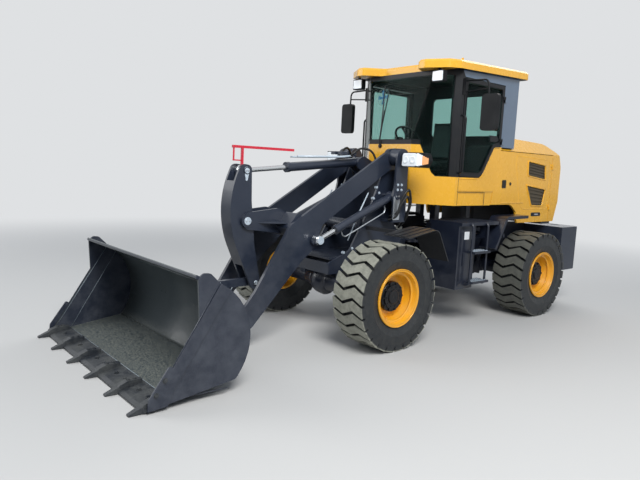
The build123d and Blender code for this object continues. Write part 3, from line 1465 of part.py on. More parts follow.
with BuildPart() as hood:
    slab_x(HOOD_OUTLINE, -HOOD_X, HOOD_X)
    slab_x(HOOD_HOLLOW, -520, 520, Mode.SUBTRACT)
    block(
        -HOOD_X + 20,
        HOOD_X - 20,
        ENGINE_DOOR_REAR_Y - 10,
        HOOD_REAR_Y - 120,
        HOOD_BOTTOM_Z - 10,
        2030,
        Mode.SUBTRACT,
    )
    for side in (1, -1):
        slab_y([(side * x, z) for x, z in HOOD_BEVEL], 1400, 3100, Mode.SUBTRACT)
    block(-480, 480, 2900, HOOD_REAR_Y + 10, REAR_VENT[0], REAR_VENT[1], Mode.SUBTRACT)
    for number in range(REAR_SLATS):
        z = REAR_VENT[0] + 16 + (REAR_VENT[1] - REAR_VENT[0]) / REAR_SLATS * number
        block(-490, 490, HOOD_REAR_Y - 14, HOOD_REAR_Y - 4, z, z + 28)
    for side in (1, -1):
        for z in ENGINE_HINGE_Z:
            hinge_leaf(side, HOOD_X, ENGINE_DOOR_AXIS, z - LEAF_H, z - SEAT, 1)
save(hood, "hood")
ENGINE_DOOR = (
    (seam_y(CAB_BASE_Z) + GAP, CAB_BASE_Z + GAP),
    (1790.0, CAB_BASE_Z + GAP, 160.0),
    (1922.0, 1302.0),
    (1952.0, 1195.0),
    (1975.0, HOOD_BOTTOM_Z),
    (ENGINE_DOOR_REAR_Y - GAP, HOOD_BOTTOM_Z),
    (ENGINE_DOOR_REAR_Y - GAP, HOOD_SHOULDER_Z - GAP),
    (seam_y(HOOD_SHOULDER_Z) + GAP, HOOD_SHOULDER_Z - GAP),
)
GRILLES = (
    # four corners, from the front top round
    ((2140.0, 1950.0), (2556.0, 1908.0), (2584.0, 1727.0), (2159.0, 1770.0)),
    ((2144.0, 1637.0), (2605.0, 1586.0), (2548.0, 1376.0), (2288.0, 1385.0)),
)
SLATS = 5
SLAT_SHARE = 0.45


def between_corners(corners, share):
    """Return the front and rear (y, z) points at a share of the way down a grille."""
    front_top, rear_top, rear_low, front_low = (Vector(*point) for point in corners)
    return front_top + (front_low - front_top) * share, rear_top + (rear_low - rear_top) * share


for side, tag in ((1, "left"), (-1, "right")):
    x0, x1 = mirrored(side, HOOD_X - 26, HOOD_X)
    with BuildPart() as engine_door:
        slab_x(ENGINE_DOOR, x0, x1)
        for corners in GRILLES:
            slab_x(corners, *mirrored(side, HOOD_X - 16, HOOD_X + 1), Mode.SUBTRACT)
            for number in range(SLATS):
                upper = between_corners(corners, (number + 0.3) / SLATS)
                lower = between_corners(corners, (number + 0.3 + SLAT_SHARE) / SLATS)
                rim = (upper[0], upper[1], lower[1], lower[0])
                slab_x([(point.X, point.Y) for point in rim], *mirrored(side, HOOD_X - 17, HOOD_X - 4))
        for z in ENGINE_HINGE_Z:
            hinge_leaf(side, HOOD_X, ENGINE_DOOR_AXIS, z, z + LEAF_H, -1)
    save(engine_door, f"engine_door_{tag}")

# Mirrors on bent arms
MIRROR_Y = 622.0
MIRROR_CASE = (
    (1008.0, 2226.0, 40.0),
    (1008.0, 2613.0, 40.0),
    (1213.0, 2613.0, 40.0),
    (1213.0, 2226.0, 40.0),
)
MIRROR_ARM = ((770.0, MIRROR_Y, 2774.0), (1068.0, MIRROR_Y, 2767.0), (1091.0, MIRROR_Y, 2290.0))
MIRROR_BEND = 60.0
ARM_R = 10.0
with BuildPart() as mirrors:
    for side in (1, -1):
        slab_y(turned(side, MIRROR_CASE), 598, 650)
        tube(turned(side, MIRROR_ARM), ARM_R, [MIRROR_BEND])
        bar((side * 765, MIRROR_Y, 2654), (side * 1074, MIRROR_Y, 2672), ARM_R - 2)
        block(*mirrored(side, CAB_SIDE_X + SEAT, 785), 606, 640, 2630, 2800)
save(mirrors, "mirrors")

# Work lamps hung under the roof's horns
with BuildPart() as work_lamps:
    for side in (1, -1):
        slab_y(turned(side, ((545, 2735, 15), (545, 2862, 15), (705, 2862, 15), (705, 2735, 15))), 305, 365)
        block(*mirrored(side, 610, 640), 325, 345, 2855, roof_z(325))
save(work_lamps, "work_lamps")

# Air cleaner and exhaust behind the cab
with BuildPart() as air_cleaner:
    bar((360, 1900, 2420), (520, 1900, 2420), 95)
    bar((440, 1900, 2237.6), (440, 1900, 2400), 40)
save(air_cleaner, "air_cleaner")

# Level indicator over the tilt cylinder
with BuildPart() as level_indicator:
    block(-12, 12, -1780, -1760, CRANK_TOP[1] + 50 + SEAT, 1915)
    block(-12, 12, -1880, -1150, 1900, 1925)
save(level_indicator, "level_indicator")
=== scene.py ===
"""Looks of an articulated wheel loader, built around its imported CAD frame."""

import cmath
import logging
import math
from collections.abc import Callable
from dataclasses import dataclass, field
from enum import Enum
from functools import cache

import bmesh
import bpy
from mathutils import Matrix, Vector


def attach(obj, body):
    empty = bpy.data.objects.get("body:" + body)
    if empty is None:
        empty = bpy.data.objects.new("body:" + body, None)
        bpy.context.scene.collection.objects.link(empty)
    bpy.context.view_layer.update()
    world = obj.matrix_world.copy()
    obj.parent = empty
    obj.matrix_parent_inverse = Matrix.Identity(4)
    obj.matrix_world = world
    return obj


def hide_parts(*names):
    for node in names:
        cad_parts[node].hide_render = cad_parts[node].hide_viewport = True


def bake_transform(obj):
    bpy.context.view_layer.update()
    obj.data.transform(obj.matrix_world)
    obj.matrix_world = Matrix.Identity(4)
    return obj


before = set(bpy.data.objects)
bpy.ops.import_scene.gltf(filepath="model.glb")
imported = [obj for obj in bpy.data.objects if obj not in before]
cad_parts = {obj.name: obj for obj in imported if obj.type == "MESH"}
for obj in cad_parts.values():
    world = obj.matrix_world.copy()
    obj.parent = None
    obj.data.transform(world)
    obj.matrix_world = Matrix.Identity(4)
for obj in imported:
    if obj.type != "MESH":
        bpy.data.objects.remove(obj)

log = logging.getLogger("loader")
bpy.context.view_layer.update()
MM = 0.001
TURN = 2 * math.pi
FRONT, REAR, TILT = "front_frame", "rear_frame", "tilt_barrel"

Mesh = bmesh.types.BMesh
Item = bpy.types.Object
Tree = bpy.types.NodeTree
Node = bpy.types.Node
Socket = bpy.types.NodeSocket
Face = bpy.types.MeshPolygon
Material = bpy.types.Material
Point = tuple[float, float, float]
Flat = tuple[float, float]
Outline = list[Flat]


class Side(Enum):
    """The two sides of the machine, as the sign of their X."""

    LEFT = 1
    RIGHT = -1

    @property
    def tag(self) -> str:
        """The side's word in node and body names."""
        return self.name.lower()


def linear(colour: str) -> tuple[float, float, float, float]:
    """Turn an sRGB hex colour into a linear one.

    Args:
        colour: The colour, such as "#3e4553".

    Returns:
        Red, green, blue and an alpha of 1, linear.
    """
    values = [int(colour[i : i + 2], 16) / 255 for i in (1, 3, 5)]
    return (*(v / 12.92 if v <= 0.04045 else ((v + 0.055) / 1.055) ** 2.4 for v in values), 1.0)


def feed(taker: Node, inputs: dict[str | int, object]) -> None:
    """Give inputs of a node their values or links.

    Args:
        taker: The node.
        inputs: Input names or places, each with a value or an output socket.
    """
    for name, value in inputs.items():
        socket = taker.inputs[name]
        if isinstance(value, Socket):
            taker.id_data.links.new(value, socket)
        else:
            socket.default_value = value


def node(tree: Tree, kind: str, inputs: dict[str | int, object] | None = None, **settings: object) -> Node:
    """Add a node.

    Args:
        tree: The node tree.
        kind: The node's type name.
        inputs: What to feed it.
        settings: Properties of the node itself.

    Returns:
        The new node.
    """
    made = tree.nodes.new(kind)
    for name, value in settings.items():
        setattr(made, name, value)
    feed(made, inputs or {})
    return made


@dataclass(frozen=True)
class Finish:
    """One real finish: its name, base colour and shine."""

    name: str
    colour: str
    roughness: float = 0.5
    metallic: float = 0.0
    specular: float = 0.5

    def start(self) -> tuple[Material, Node, Socket]:
        """Make the material with its shader.

        Returns:
            The material, its shader and the object's coordinates.
        """
        material = bpy.data.materials.new(self.name)
        material.use_nodes = True
        material.diffuse_color = linear(self.colour)
        shader = material.node_tree.nodes["Principled BSDF"]
        feed(shader, {"Base Color": linear(self.colour), "Roughness": self.roughness})
        feed(shader, {"Metallic": self.metallic, "Specular IOR Level": self.specular})
        return material, shader, node(material.node_tree, "ShaderNodeTexCoord").outputs["Object"]

    def build(self) -> Material:
        """Return the finish as a material."""
        return self.start()[0]


@dataclass(frozen=True)
class Paint(Finish):
    """Sprayed two-part enamel over steel: a clear gloss, a slight orange peel and road dust low down."""

    coat: float = 0.35
    dust: str = "#8d8676"
    dust_share: float = 0.25
    dust_top: float = 1.4
    scuff: str = "#6a6f78"
    scuff_share: float = 0.0
    fade: float = 0.08
    grain: float = 7.0
    dusty_roughness: float = 0.85

    def build(self) -> Material:
        """Return the paint as a material.

        Returns:
            The material, its colour mottled and dusted and its gloss broken by the dust.
        """
        material, shader, where = self.start()
        tree = material.node_tree
        # patches of fading about 400 mm across
        patch = node(tree, "ShaderNodeTexNoise", {"Vector": where, "Scale": 2.5, "Detail": 4.0}).outputs[0]
        pale, deep = 1.0 + self.fade * 0.6, 1.0 - self.fade
        shade = node(tree, "ShaderNodeMapRange", {0: patch, 1: 0.3, 2: 0.7, 3: deep, 4: pale}).outputs[0]
        base = {0: linear(self.colour)[:3], "Scale": shade}
        tint = node(tree, "ShaderNodeVectorMath", base, operation="SCALE").outputs[0]
        # road dust thins out with height
        height = node(tree, "ShaderNodeSeparateXYZ", {0: where}).outputs[2]
        fall = {0: height, 1: 0.1, 2: self.dust_top, 3: self.dust_share, 4: 0.02}
        low = node(tree, "ShaderNodeMapRange", fall).outputs[0]
        speckle = {"Vector": where, "Scale": self.grain, "Detail": 9.0, "Roughness": 0.7}
        specks = node(tree, "ShaderNodeTexNoise", speckle).outputs[0]
        grit = node(tree, "ShaderNodeMapRange", {0: specks, 1: 0.42, 2: 0.68}).outputs[0]
        dusty = node(tree, "ShaderNodeMath", {0: low, 1: grit}, operation="MULTIPLY").outputs[0]
        blend = {0: dusty, 6: tint, 7: linear(self.dust)}
        colour = node(tree, "ShaderNodeMix", blend, data_type="RGBA").outputs[2]
        if self.scuff_share:
            # rubbed streaks about 60 mm wide and 400 mm long
            stretch = node(tree, "ShaderNodeMapping", {0: where, 3: (14.0, 3.0, 16.0)}).outputs[0]
            streaky = {"Vector": stretch, "Scale": 1.0, "Detail": 8.0, "Roughness": 0.75}
            streak = node(tree, "ShaderNodeTexNoise", streaky).outputs[0]
            worn = {0: streak, 1: 0.5, 2: 0.72, 4: self.scuff_share}
            rub = node(tree, "ShaderNodeMapRange", worn).outputs[0]
            blend = {0: rub, 6: colour, 7: linear(self.scuff)}
            colour = node(tree, "ShaderNodeMix", blend, data_type="RGBA").outputs[2]
        film = {0: dusty, 2: 0.3, 3: self.roughness, 4: self.dusty_roughness}
        dull = node(tree, "ShaderNodeMapRange", film).outputs[0]
        feed(shader, {"Coat Weight": self.coat, "Coat Roughness": 0.08})
        feed(shader, {"Base Color": colour, "Roughness": dull})
        # orange peel, drawn at 4 mm so that it shows
        peel = node(tree, "ShaderNodeTexNoise", {"Vector": where, "Scale": 240.0, "Detail": 1.0}).outputs[0]
        bump = node(tree, "ShaderNodeBump", {"Height": peel, "Strength": 0.06, "Distance": 0.001})
        feed(shader, {"Normal": bump.outputs[0]})
        return material


@dataclass(frozen=True)
class TyreRubber(Finish):
    """Vulcanised carbon-black rubber: dull, with paving dust on the lugs and a cleaner sidewall."""

    centre: Point = (0.0, 0.0, 0.0)
    dust: str = "#9c9c8e"
    dust_share: float = 0.7
    shoulder: float = 0.512
    tread: float = 0.524

    def build(self) -> Material:
        """Return the rubber as a material.

        Returns:
            The material, dusted from the shoulder outwards, as metres from the axle.
        """
        material, shader, where = self.start()
        tree = material.node_tree
        local = node(tree, "ShaderNodeVectorMath", {0: where, 1: self.centre}, operation="SUBTRACT")
        upright = {0: local.outputs[0], 1: (0.0, 1.0, 1.0)}
        flat = node(tree, "ShaderNodeVectorMath", upright, operation="MULTIPLY").outputs[0]
        reach = node(tree, "ShaderNodeVectorMath", {0: flat}, operation="LENGTH").outputs[1]
        tread = node(tree, "ShaderNodeMapRange", {0: reach, 1: self.shoulder, 2: self.tread}).outputs[0]
        speckle = {"Vector": where, "Scale": 16.0, "Detail": 9.0, "Roughness": 0.72}
        grain = node(tree, "ShaderNodeTexNoise", speckle).outputs[0]
        specks = node(tree, "ShaderNodeMapRange", {0: grain, 1: 0.32, 2: 0.6, 3: 0.55}).outputs[0]
        lugs = node(tree, "ShaderNodeMath", {0: tread, 1: specks}, operation="MULTIPLY").outputs[0]
        film = node(tree, "ShaderNodeMath", {0: lugs, 1: self.dust_share}, operation="MULTIPLY").outputs[0]
        haze = node(tree, "ShaderNodeMapRange", {0: grain, 1: 0.4, 2: 0.75, 3: 0.015, 4: 0.07}).outputs[0]
        most = node(tree, "ShaderNodeMath", {0: film, 1: haze}, operation="MAXIMUM").outputs[0]
        blend = {0: most, 6: linear(self.colour), 7: linear(self.dust)}
        feed(shader, {"Base Color": node(tree, "ShaderNodeMix", blend, data_type="RGBA").outputs[2]})
        # moulded rings on the sidewall, 12 mm apart
        turns = node(tree, "ShaderNodeMath", {0: reach, 1: 520.0}, operation="MULTIPLY").outputs[0]
        wave = node(tree, "ShaderNodeMath", {0: turns}, operation="SINE").outputs[0]
        wall = node(tree, "ShaderNodeMath", {0: 1.0, 1: tread}, operation="SUBTRACT").outputs[0]
        rings = node(tree, "ShaderNodeMath", {0: wave, 1: wall}, operation="MULTIPLY").outputs[0]
        relief = node(tree, "ShaderNodeMath", {0: rings, 1: grain}, operation="ADD").outputs[0]
        bump = node(tree, "ShaderNodeBump", {"Height": relief, "Strength": 0.35, "Distance": 0.002})
        feed(shader, {"Normal": bump.outputs[0]})
        return material


@dataclass(frozen=True)
class Glass(Finish):
    """Toughened float glass with a green tint: clear and hard-edged in its reflections."""

    roughness: float = 0.02
    tint: str = "#e2f3f0"

    def build(self) -> Material:
        """Return the glass as a material.

        Returns:
            The material, tinted where it is looked through and glossy at a slant.
        """
        material, shader, where = self.start()
        tree = material.node_tree
        smears = node(tree, "ShaderNodeTexNoise", {"Vector": where, "Scale": 3.0, "Detail": 3.0}).outputs[0]
        film = node(tree, "ShaderNodeMapRange", {0: smears, 1: 0.3, 2: 0.8, 3: 0.01, 4: 0.05})
        feed(shader, {"Roughness": film.outputs[0]})
        clear = node(tree, "ShaderNodeBsdfTransparent", {"Color": linear(self.tint)})
        # the same on both faces of a pane, unlike a Fresnel node, which blacks out its back
        slant = node(tree, "ShaderNodeLayerWeight", {"Blend": 0.5}).outputs["Facing"]
        steep = node(tree, "ShaderNodeMath", {0: slant, 1: 5.0}, operation="POWER").outputs[0]
        share = node(tree, "ShaderNodeMapRange", {0: steep, 3: 0.08}).outputs[0]
        mix = node(tree, "ShaderNodeMixShader", {0: share, 1: clear.outputs[0], 2: shader.outputs[0]})
        feed(tree.nodes["Material Output"], {"Surface": mix.outputs[0]})
        return material


@dataclass(frozen=True)
class BareMetal(Finish):
    """Metal without paint: hard-chromed rods, zinc-plated pins and worn steel."""

    metallic: float = 1.0
    scratch: float = 0.15
    stretch: Point = (40.0, 4.0, 40.0)

    def build(self) -> Material:
        """Return the metal as a material.

        Returns:
            The material, with fine drawn scratches.
        """
        material, shader, where = self.start()
        tree = material.node_tree
        drawn = node(tree, "ShaderNodeMapping", {0: where, 3: self.stretch}).outputs[0]
        lines = node(tree, "ShaderNodeTexNoise", {"Vector": drawn, "Scale": 3.0, "Detail": 6.0}).outputs[0]
        span = {0: lines, 1: 0.3, 2: 0.7, 3: self.roughness, 4: self.roughness + self.scratch}
        rough = node(tree, "ShaderNodeMapRange", span)
        bump = node(tree, "ShaderNodeBump", {"Height": lines, "Strength": self.scratch, "Distance": 0.0005})
        feed(shader, {"Roughness": rough.outputs[0], "Normal": bump.outputs[0]})
        return material


@dataclass(frozen=True)
class Moulded(Finish):
    """Injection-moulded or sprayed plastic with a fine grain."""

    grain: float = 380.0

    def build(self) -> Material:
        """Return the plastic as a material.

        Returns:
            The material, with its grain as bump.
        """
        material, shader, where = self.start()
        tree = material.node_tree
        fine = {"Vector": where, "Scale": self.grain, "Detail": 2.0}
        grain = node(tree, "ShaderNodeTexNoise", fine).outputs[0]
        bump = node(tree, "ShaderNodeBump", {"Height": grain, "Strength": 0.2, "Distance": 0.0006})
        haze = node(tree, "ShaderNodeTexNoise", {"Vector": where, "Scale": 5.0, "Detail": 5.0}).outputs[0]
        span = {0: haze, 1: 0.3, 2: 0.7, 3: self.roughness - 0.08, 4: self.roughness + 0.1}
        rough = node(tree, "ShaderNodeMapRange", span)
        feed(shader, {"Roughness": rough.outputs[0], "Normal": bump.outputs[0]})
        return material


@dataclass(frozen=True)
class Lamp(Finish):
    """A clear or amber lamp lens over a bright reflector."""

    glow: float = 0.0

    def build(self) -> Material:
        """Return the lens as a material.

        Returns:
            The material, glossy with moulded flutes.
        """
        material, shader, where = self.start()
        tree = material.node_tree
        flutes = node(tree, "ShaderNodeTexVoronoi", {"Vector": where, "Scale": 45.0}).outputs[0]
        bump = node(tree, "ShaderNodeBump", {"Height": flutes, "Strength": 0.3, "Distance": 0.002})
        feed(shader, {"Emission Color": linear(self.colour), "Emission Strength": self.glow})
        feed(shader, {"Coat Weight": 1.0, "Normal": bump.outputs[0]})
        return material


NAVY = Paint("charcoal_enamel", "#262d3b", 0.34, coat=0.2, dust="#6d7179", dust_share=0.22)
# darker copy of the charcoal enamel for the rear frame, side boxes, box doors and axles, which sit in shade:
# painted shade
SHADED_NAVY = Paint("rear_frame_enamel_painted_shade", "#181e2c", 0.3, coat=0.25, dust="#666a72", dust_share=0.16)
BUCKET = Paint(
    "bucket_enamel", "#252b38", 0.38, coat=0.15, dust="#70747b", dust_share=0.25, scuff_share=0.05
)
BUCKET_IN = Paint(
    "bucket_worn_enamel", "#394144", 0.42, coat=0.15, dust="#7c7d71", dust_share=0.75,
    dust_top=0.2, scuff="#596160", scuff_share=0.14, fade=0.05, grain=60.0,
)
YELLOW = Paint("yellow_enamel", "#efb12c", 0.26, dust="#dcb873", dust_share=0.05, fade=0.025)
RIM_PAINT = Paint("rim_enamel", "#eaa41c", 0.3, coat=0.3, dust="#a98d5c", dust_share=0.2)
RED = Paint("red_enamel", "#cf2238", 0.35, coat=0.2, dust_share=0.05)
GRILLE = Moulded("grille_enamel", "#4d4434", 0.6, grain=300.0)
KEEPER = Paint("pale_zinc_passivate", "#bcc8d2", 0.3, coat=0.3, dust="#8c9094", dust_share=0.1)
# pale grey for the beads along the bucket's edges: a painted highlight
PALE_BEAD_HIGHLIGHT = Paint("weld_bead_painted_highlight", "#7d878e", 0.4, coat=0.1, dust_share=0.1)
FENDER_PAINT = Moulded("fender_polypropylene", "#26272a", 0.42, grain=200.0)
GLASS = Glass("tinted_safety_glass", "#12211f")
CHROME = BareMetal("hard_chrome", "#dcdfe2", 0.1, scratch=0.08)
ZINC = BareMetal("zinc_plate", "#c6ccd2", 0.35, scratch=0.2)
EDGE_STEEL = Paint(
    "forged_edge_enamel", "#22272e", 0.42, coat=0.1, dust="#6c6d68", dust_share=0.35,
    scuff="#7d7f7c", scuff_share=0.2,
)
PLASTIC = Moulded("black_polypropylene", "#0f1114", 0.5, specular=0.25)
BLACK = Moulded("black_satin_enamel", "#101216", 0.34, specular=0.35)
IRON = Moulded("cast_iron_enamel", "#1e2124", 0.55)
CAB_PAINT = Paint("cab_enamel", "#0d1015", 0.38, coat=0.05, dust_share=0.02, specular=0.3)
# pale blue-grey on the cab frame's header and rear pillar, standing in for the sky reflected in their gloss:
# painted reflection
CAB_PANEL_REFLECTION = Paint("cab_panel_painted_reflection", "#56697e", 0.16, coat=0.6, dust_share=0.03)
LENS = Lamp("clear_lens", "#e8edf0", 0.12, glow=0.08)
AMBER = Lamp("amber_lens", "#eda468", 0.15, glow=0.1)
TAIL_RED = Lamp("red_lens", "#b3222a", 0.2, glow=0.05)
WHITE = Paint("blank_plate", "#e9ecee", 0.4, coat=0.3, dust_share=0.05)
BLUE = Moulded("blue_fan_plastic", "#2f7fc4", 0.35)
HOSE = Moulded("braided_hose_rubber", "#111214", 0.45, grain=420.0)
VINYL = Moulded("black_vinyl", "#1b1d20", 0.5, grain=260.0)
GAP = Moulded("panel_gap_rubber", "#3a2c12", 0.7, grain=200.0)


@cache
def material_of(finish: Finish) -> Material:
    """Return the material of a finish, made at its first use."""
    return finish.build()


def dress(name: str, finish: Finish) -> None:
    """Give a CAD node one finish.

    Args:
        name: The node's name.
        finish: Its finish.
    """
    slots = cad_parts[name].data.materials
    slots.clear()
    slots.append(material_of(finish))


def repaint(name: str, finish: Finish, where: Callable[[Face], bool]) -> None:
    """Give the faces of a CAD node that pass a test another finish.

    Args:
        name: The node's name.
        finish: The second finish.
        where: A test of a face.
    """
    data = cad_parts[name].data
    data.materials.append(material_of(finish))
    index = len(data.materials) - 1
    for face in data.polygons:
        if where(face):
            face.material_index = index


def show(name: str, data: bpy.types.ID) -> Item:
    """Put data in the scene as an object.

    Args:
        name: The object's name.
        data: Its mesh, lamp or camera.

    Returns:
        The object.
    """
    item = bpy.data.objects.new(name, data)
    bpy.context.scene.collection.objects.link(item)
    return item


def poured(name: str, mesh: Mesh) -> Item:
    """Turn a built mesh into an object of the scene.

    Args:
        name: The object's name.
        mesh: The built mesh, which is freed.

    Returns:
        The object.
    """
    data = bpy.data.meshes.new(name)
    mesh.to_mesh(data)
    mesh.free()
    return show(name, data)


def settle(item: Item) -> None:
    """Replace an object's live geometry with the plain mesh that it makes.

    Args:
        item: The object, which loses its modifiers.
    """
    ready = item.evaluated_get(bpy.context.evaluated_depsgraph_get())
    plain = bpy.data.meshes.new_from_object(ready)
    item.modifiers.clear()
    item.data = plain


@dataclass(frozen=True)
class Crossing:
    """Where a hose crosses a joint: the body at its far end, and the stretch between, in metres."""

    body: str
    start: Point
    end: Point


def place(
    name: str, mesh: Mesh, finish: Finish, body: str, smooth: bool = False, crossing: Crossing | None = None
) -> None:
    """Put a built mesh in the scene, finished and riding on a body.

    Args:
        name: The piece's name.
        mesh: The built mesh, in row frame metres.
        finish: Its finish.
        body: The CAD body that carries it.
        smooth: Whether its faces are shaded smooth.
        crossing: Where it crosses to a second body, if it does; such a piece then rides on no body, and the
            crossing's body and stretch are not used.
    """
    for face in mesh.faces:
        face.smooth = smooth
    item = poured(name, mesh)
    item.data.materials.append(material_of(finish))
    if crossing:
        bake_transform(item)
    else:
        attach(item, body)
    log.info("piece %s on %s: %d faces", name, body, len(item.data.polygons))


def frame_to(axis: Vector) -> Matrix:
    """Return the turn that takes +Z to an axis."""
    return Vector(axis).to_track_quat("Z", "Y").to_matrix().to_4x4()


def around(count: int) -> list[float]:
    """Return evenly spread angles of a full turn."""
    return [TURN * k / count for k in range(count)]


class Facing(Enum):
    """The axis that a plate is extruded along, as the places of its outline's u and v and of its depth."""

    X = (1, 2, 0)
    Y = (0, 2, 1)
    Z = (0, 1, 2)


def add_plate(
    mesh: Mesh, facing: Facing, outline: Outline, low: float, high: float, bevel: float = 1.0
) -> None:
    """Add an extruded outline with its far rim rounded.

    Args:
        mesh: The mesh to add to.
        facing: The axis that it is extruded along.
        outline: Its corners in millimetres, on the other two axes.
        low: Where its back lies along the axis.
        high: Where its rounded face lies, on either side of low.
        bevel: Rounding of the rim in millimetres.
    """
    u, v, w = facing.value
    foot, top = [], []
    for ring, depth in ((foot, low), (top, high)):
        for a, b in outline:
            at = [0.0, 0.0, 0.0]
            at[u], at[v], at[w] = a, b, depth
            ring.append(mesh.verts.new(Vector(at) * MM))
    faces = [mesh.faces.new(foot), mesh.faces.new(top)]
    for k in range(len(outline)):
        n = (k + 1) % len(outline)
        faces.append(mesh.faces.new((foot[k], foot[n], top[n], top[k])))
    bmesh.ops.recalc_face_normals(mesh, faces=faces)
    if bevel:
        rim = list(faces[1].edges)
        bmesh.ops.bevel(
            mesh, geom=rim, offset=bevel * MM, segments=2, profile=0.6, affect="EDGES", clamp_overlap=True
        )


def add_pair(mesh: Mesh, outline: Outline, low: float, high: float, bevel: float = 1.0) -> None:
    """Add a plate that faces outwards on each side of the machine."""
    for side in Side:
        add_plate(mesh, Facing.X, outline, side.value * low, side.value * high, bevel)


def rounded(outline: Outline, radius: float, steps: int = 5) -> Outline:
    """Round the corners of an outline.

    Args:
        outline: Its corners.
        radius: Reach of the rounding along each side.
        steps: Points on each rounding.

    Returns:
        The rounded outline.
    """
    out = []
    for number, at in enumerate(outline):
        here = Vector(at)
        back = Vector(outline[number - 1]) - here
        on = Vector(outline[(number + 1) % len(outline)]) - here
        start = here + back.normalized() * min(radius, back.length * 0.48)
        end = here + on.normalized() * min(radius, on.length * 0.48)
        for k in range(steps + 1):
            t = k / steps
            out.append(tuple(start.lerp(here, t).lerp(here.lerp(end, t), t)))
    return out


def rectangle(u0: float, u1: float, v0: float, v1: float, radius: float = 0.0) -> Outline:
    """Return a rectangle, its corners rounded if a radius is given."""
    corners = [(u0, v0), (u1, v0), (u1, v1), (u0, v1)]
    return rounded(corners, radius) if radius else corners


def arc(start: Flat, middle: Flat, end: Flat, steps: int) -> Outline:
    """Return points along the circular arc through three points.

    Args:
        start: Its first point.
        middle: A point on it.
        end: Its last point.
        steps: How many parts it is divided into.

    Returns:
        Its points, both ends included.
    """
    a, b, c = complex(*start), complex(*middle), complex(*end)
    w = (c - a) / (b - a)
    centre = a - (a - b) * (w - abs(w) ** 2) / (2j * w.imag)
    first, last = a - centre, c - centre
    sweep = cmath.phase(last / first)
    if sweep * cmath.phase((b - centre) / first) < 0:
        sweep -= math.copysign(TURN, sweep)
    points = (centre + first * cmath.exp(1j * sweep * k / steps) for k in range(steps + 1))
    return [(p.real, p.imag) for p in points]


def add_lathe(mesh: Mesh, centre: Point, axis: Point, profile: Outline, sides: int = 32) -> None:
    """Add a turned form.

    Args:
        mesh: The mesh to add to.
        centre: The start of its axis in millimetres.
        axis: The way that its axis runs.
        profile: Distances along the axis and radii, in millimetres; a radius of 0 closes it.
        sides: Number of sides.
    """
    turn = Matrix.Translation(Vector(centre) * MM) @ frame_to(axis)
    rings = []
    for along, radius in profile:
        circle = [(math.cos(a) * radius, math.sin(a) * radius, along) for a in around(sides)]
        if radius <= 0:
            circle = [(0, 0, along)]
        rings.append([mesh.verts.new(turn @ (Vector(at) * MM)) for at in circle])
    faces = []
    for one, two in zip(rings, rings[1:]):
        for k in range(sides):
            n = (k + 1) % sides
            corners = [one[k % len(one)], one[n % len(one)], two[n % len(two)], two[k % len(two)]]
            faces.append(mesh.faces.new(list(dict.fromkeys(corners))))
    bmesh.ops.recalc_face_normals(mesh, faces=faces)


def add_tube(mesh: Mesh, points: list[Point], radius: float, bend: float = 0.0, sides: int = 8) -> None:
    """Add a round tube along runs joined by round bends.

    Args:
        mesh: The mesh to add to.
        points: The route's corners in millimetres.
        radius: Tube radius in millimetres.
        bend: Bend radius in millimetres.
        sides: Number of sides.
    """
    corners = [Vector(p) for p in points]
    line = [corners[0]]
    for before, at, after in zip(corners, corners[1:], corners[2:]):
        back, on = (before - at), (after - at)
        cut = min(bend, back.length * 0.45, on.length * 0.45)
        start, end = at + back.normalized() * cut, at + on.normalized() * cut
        for step in range(7):
            t = step / 6
            line.append(start.lerp(at, t).lerp(at.lerp(end, t), t))
    line.append(corners[-1])
    rings = []
    side = None
    for i, at in enumerate(line):
        along = (line[min(i + 1, len(line) - 1)] - line[max(i - 1, 0)]).normalized()
        if side is None:
            side = along.orthogonal().normalized()
        else:
            side = (side - along * side.dot(along)).normalized()
        other = along.cross(side)
        circle = (at + (side * math.cos(a) + other * math.sin(a)) * radius for a in around(sides))
        rings.append([mesh.verts.new(spot * MM) for spot in circle])
    for one, two in zip(rings, rings[1:]):
        for k in range(sides):
            n = (k + 1) % sides
            mesh.faces.new((one[k], one[n], two[n], two[k]))
    mesh.faces.new(list(reversed(rings[0])))
    mesh.faces.new(rings[-1])


def mirrored(*points: Point) -> list[list[Point]]:
    """Return a route of the left side, and the same route on the right."""
    return [[(side.value * x, y, z) for x, y, z in points] for side in Side]


# a head's corner radius as a share of its width, its chamfered top, and the washer's reach and depth
CORNER, CHAMFER, WASHER_REACH, WASHER_DEPTH = 0.577, 0.94, 0.78, 0.22


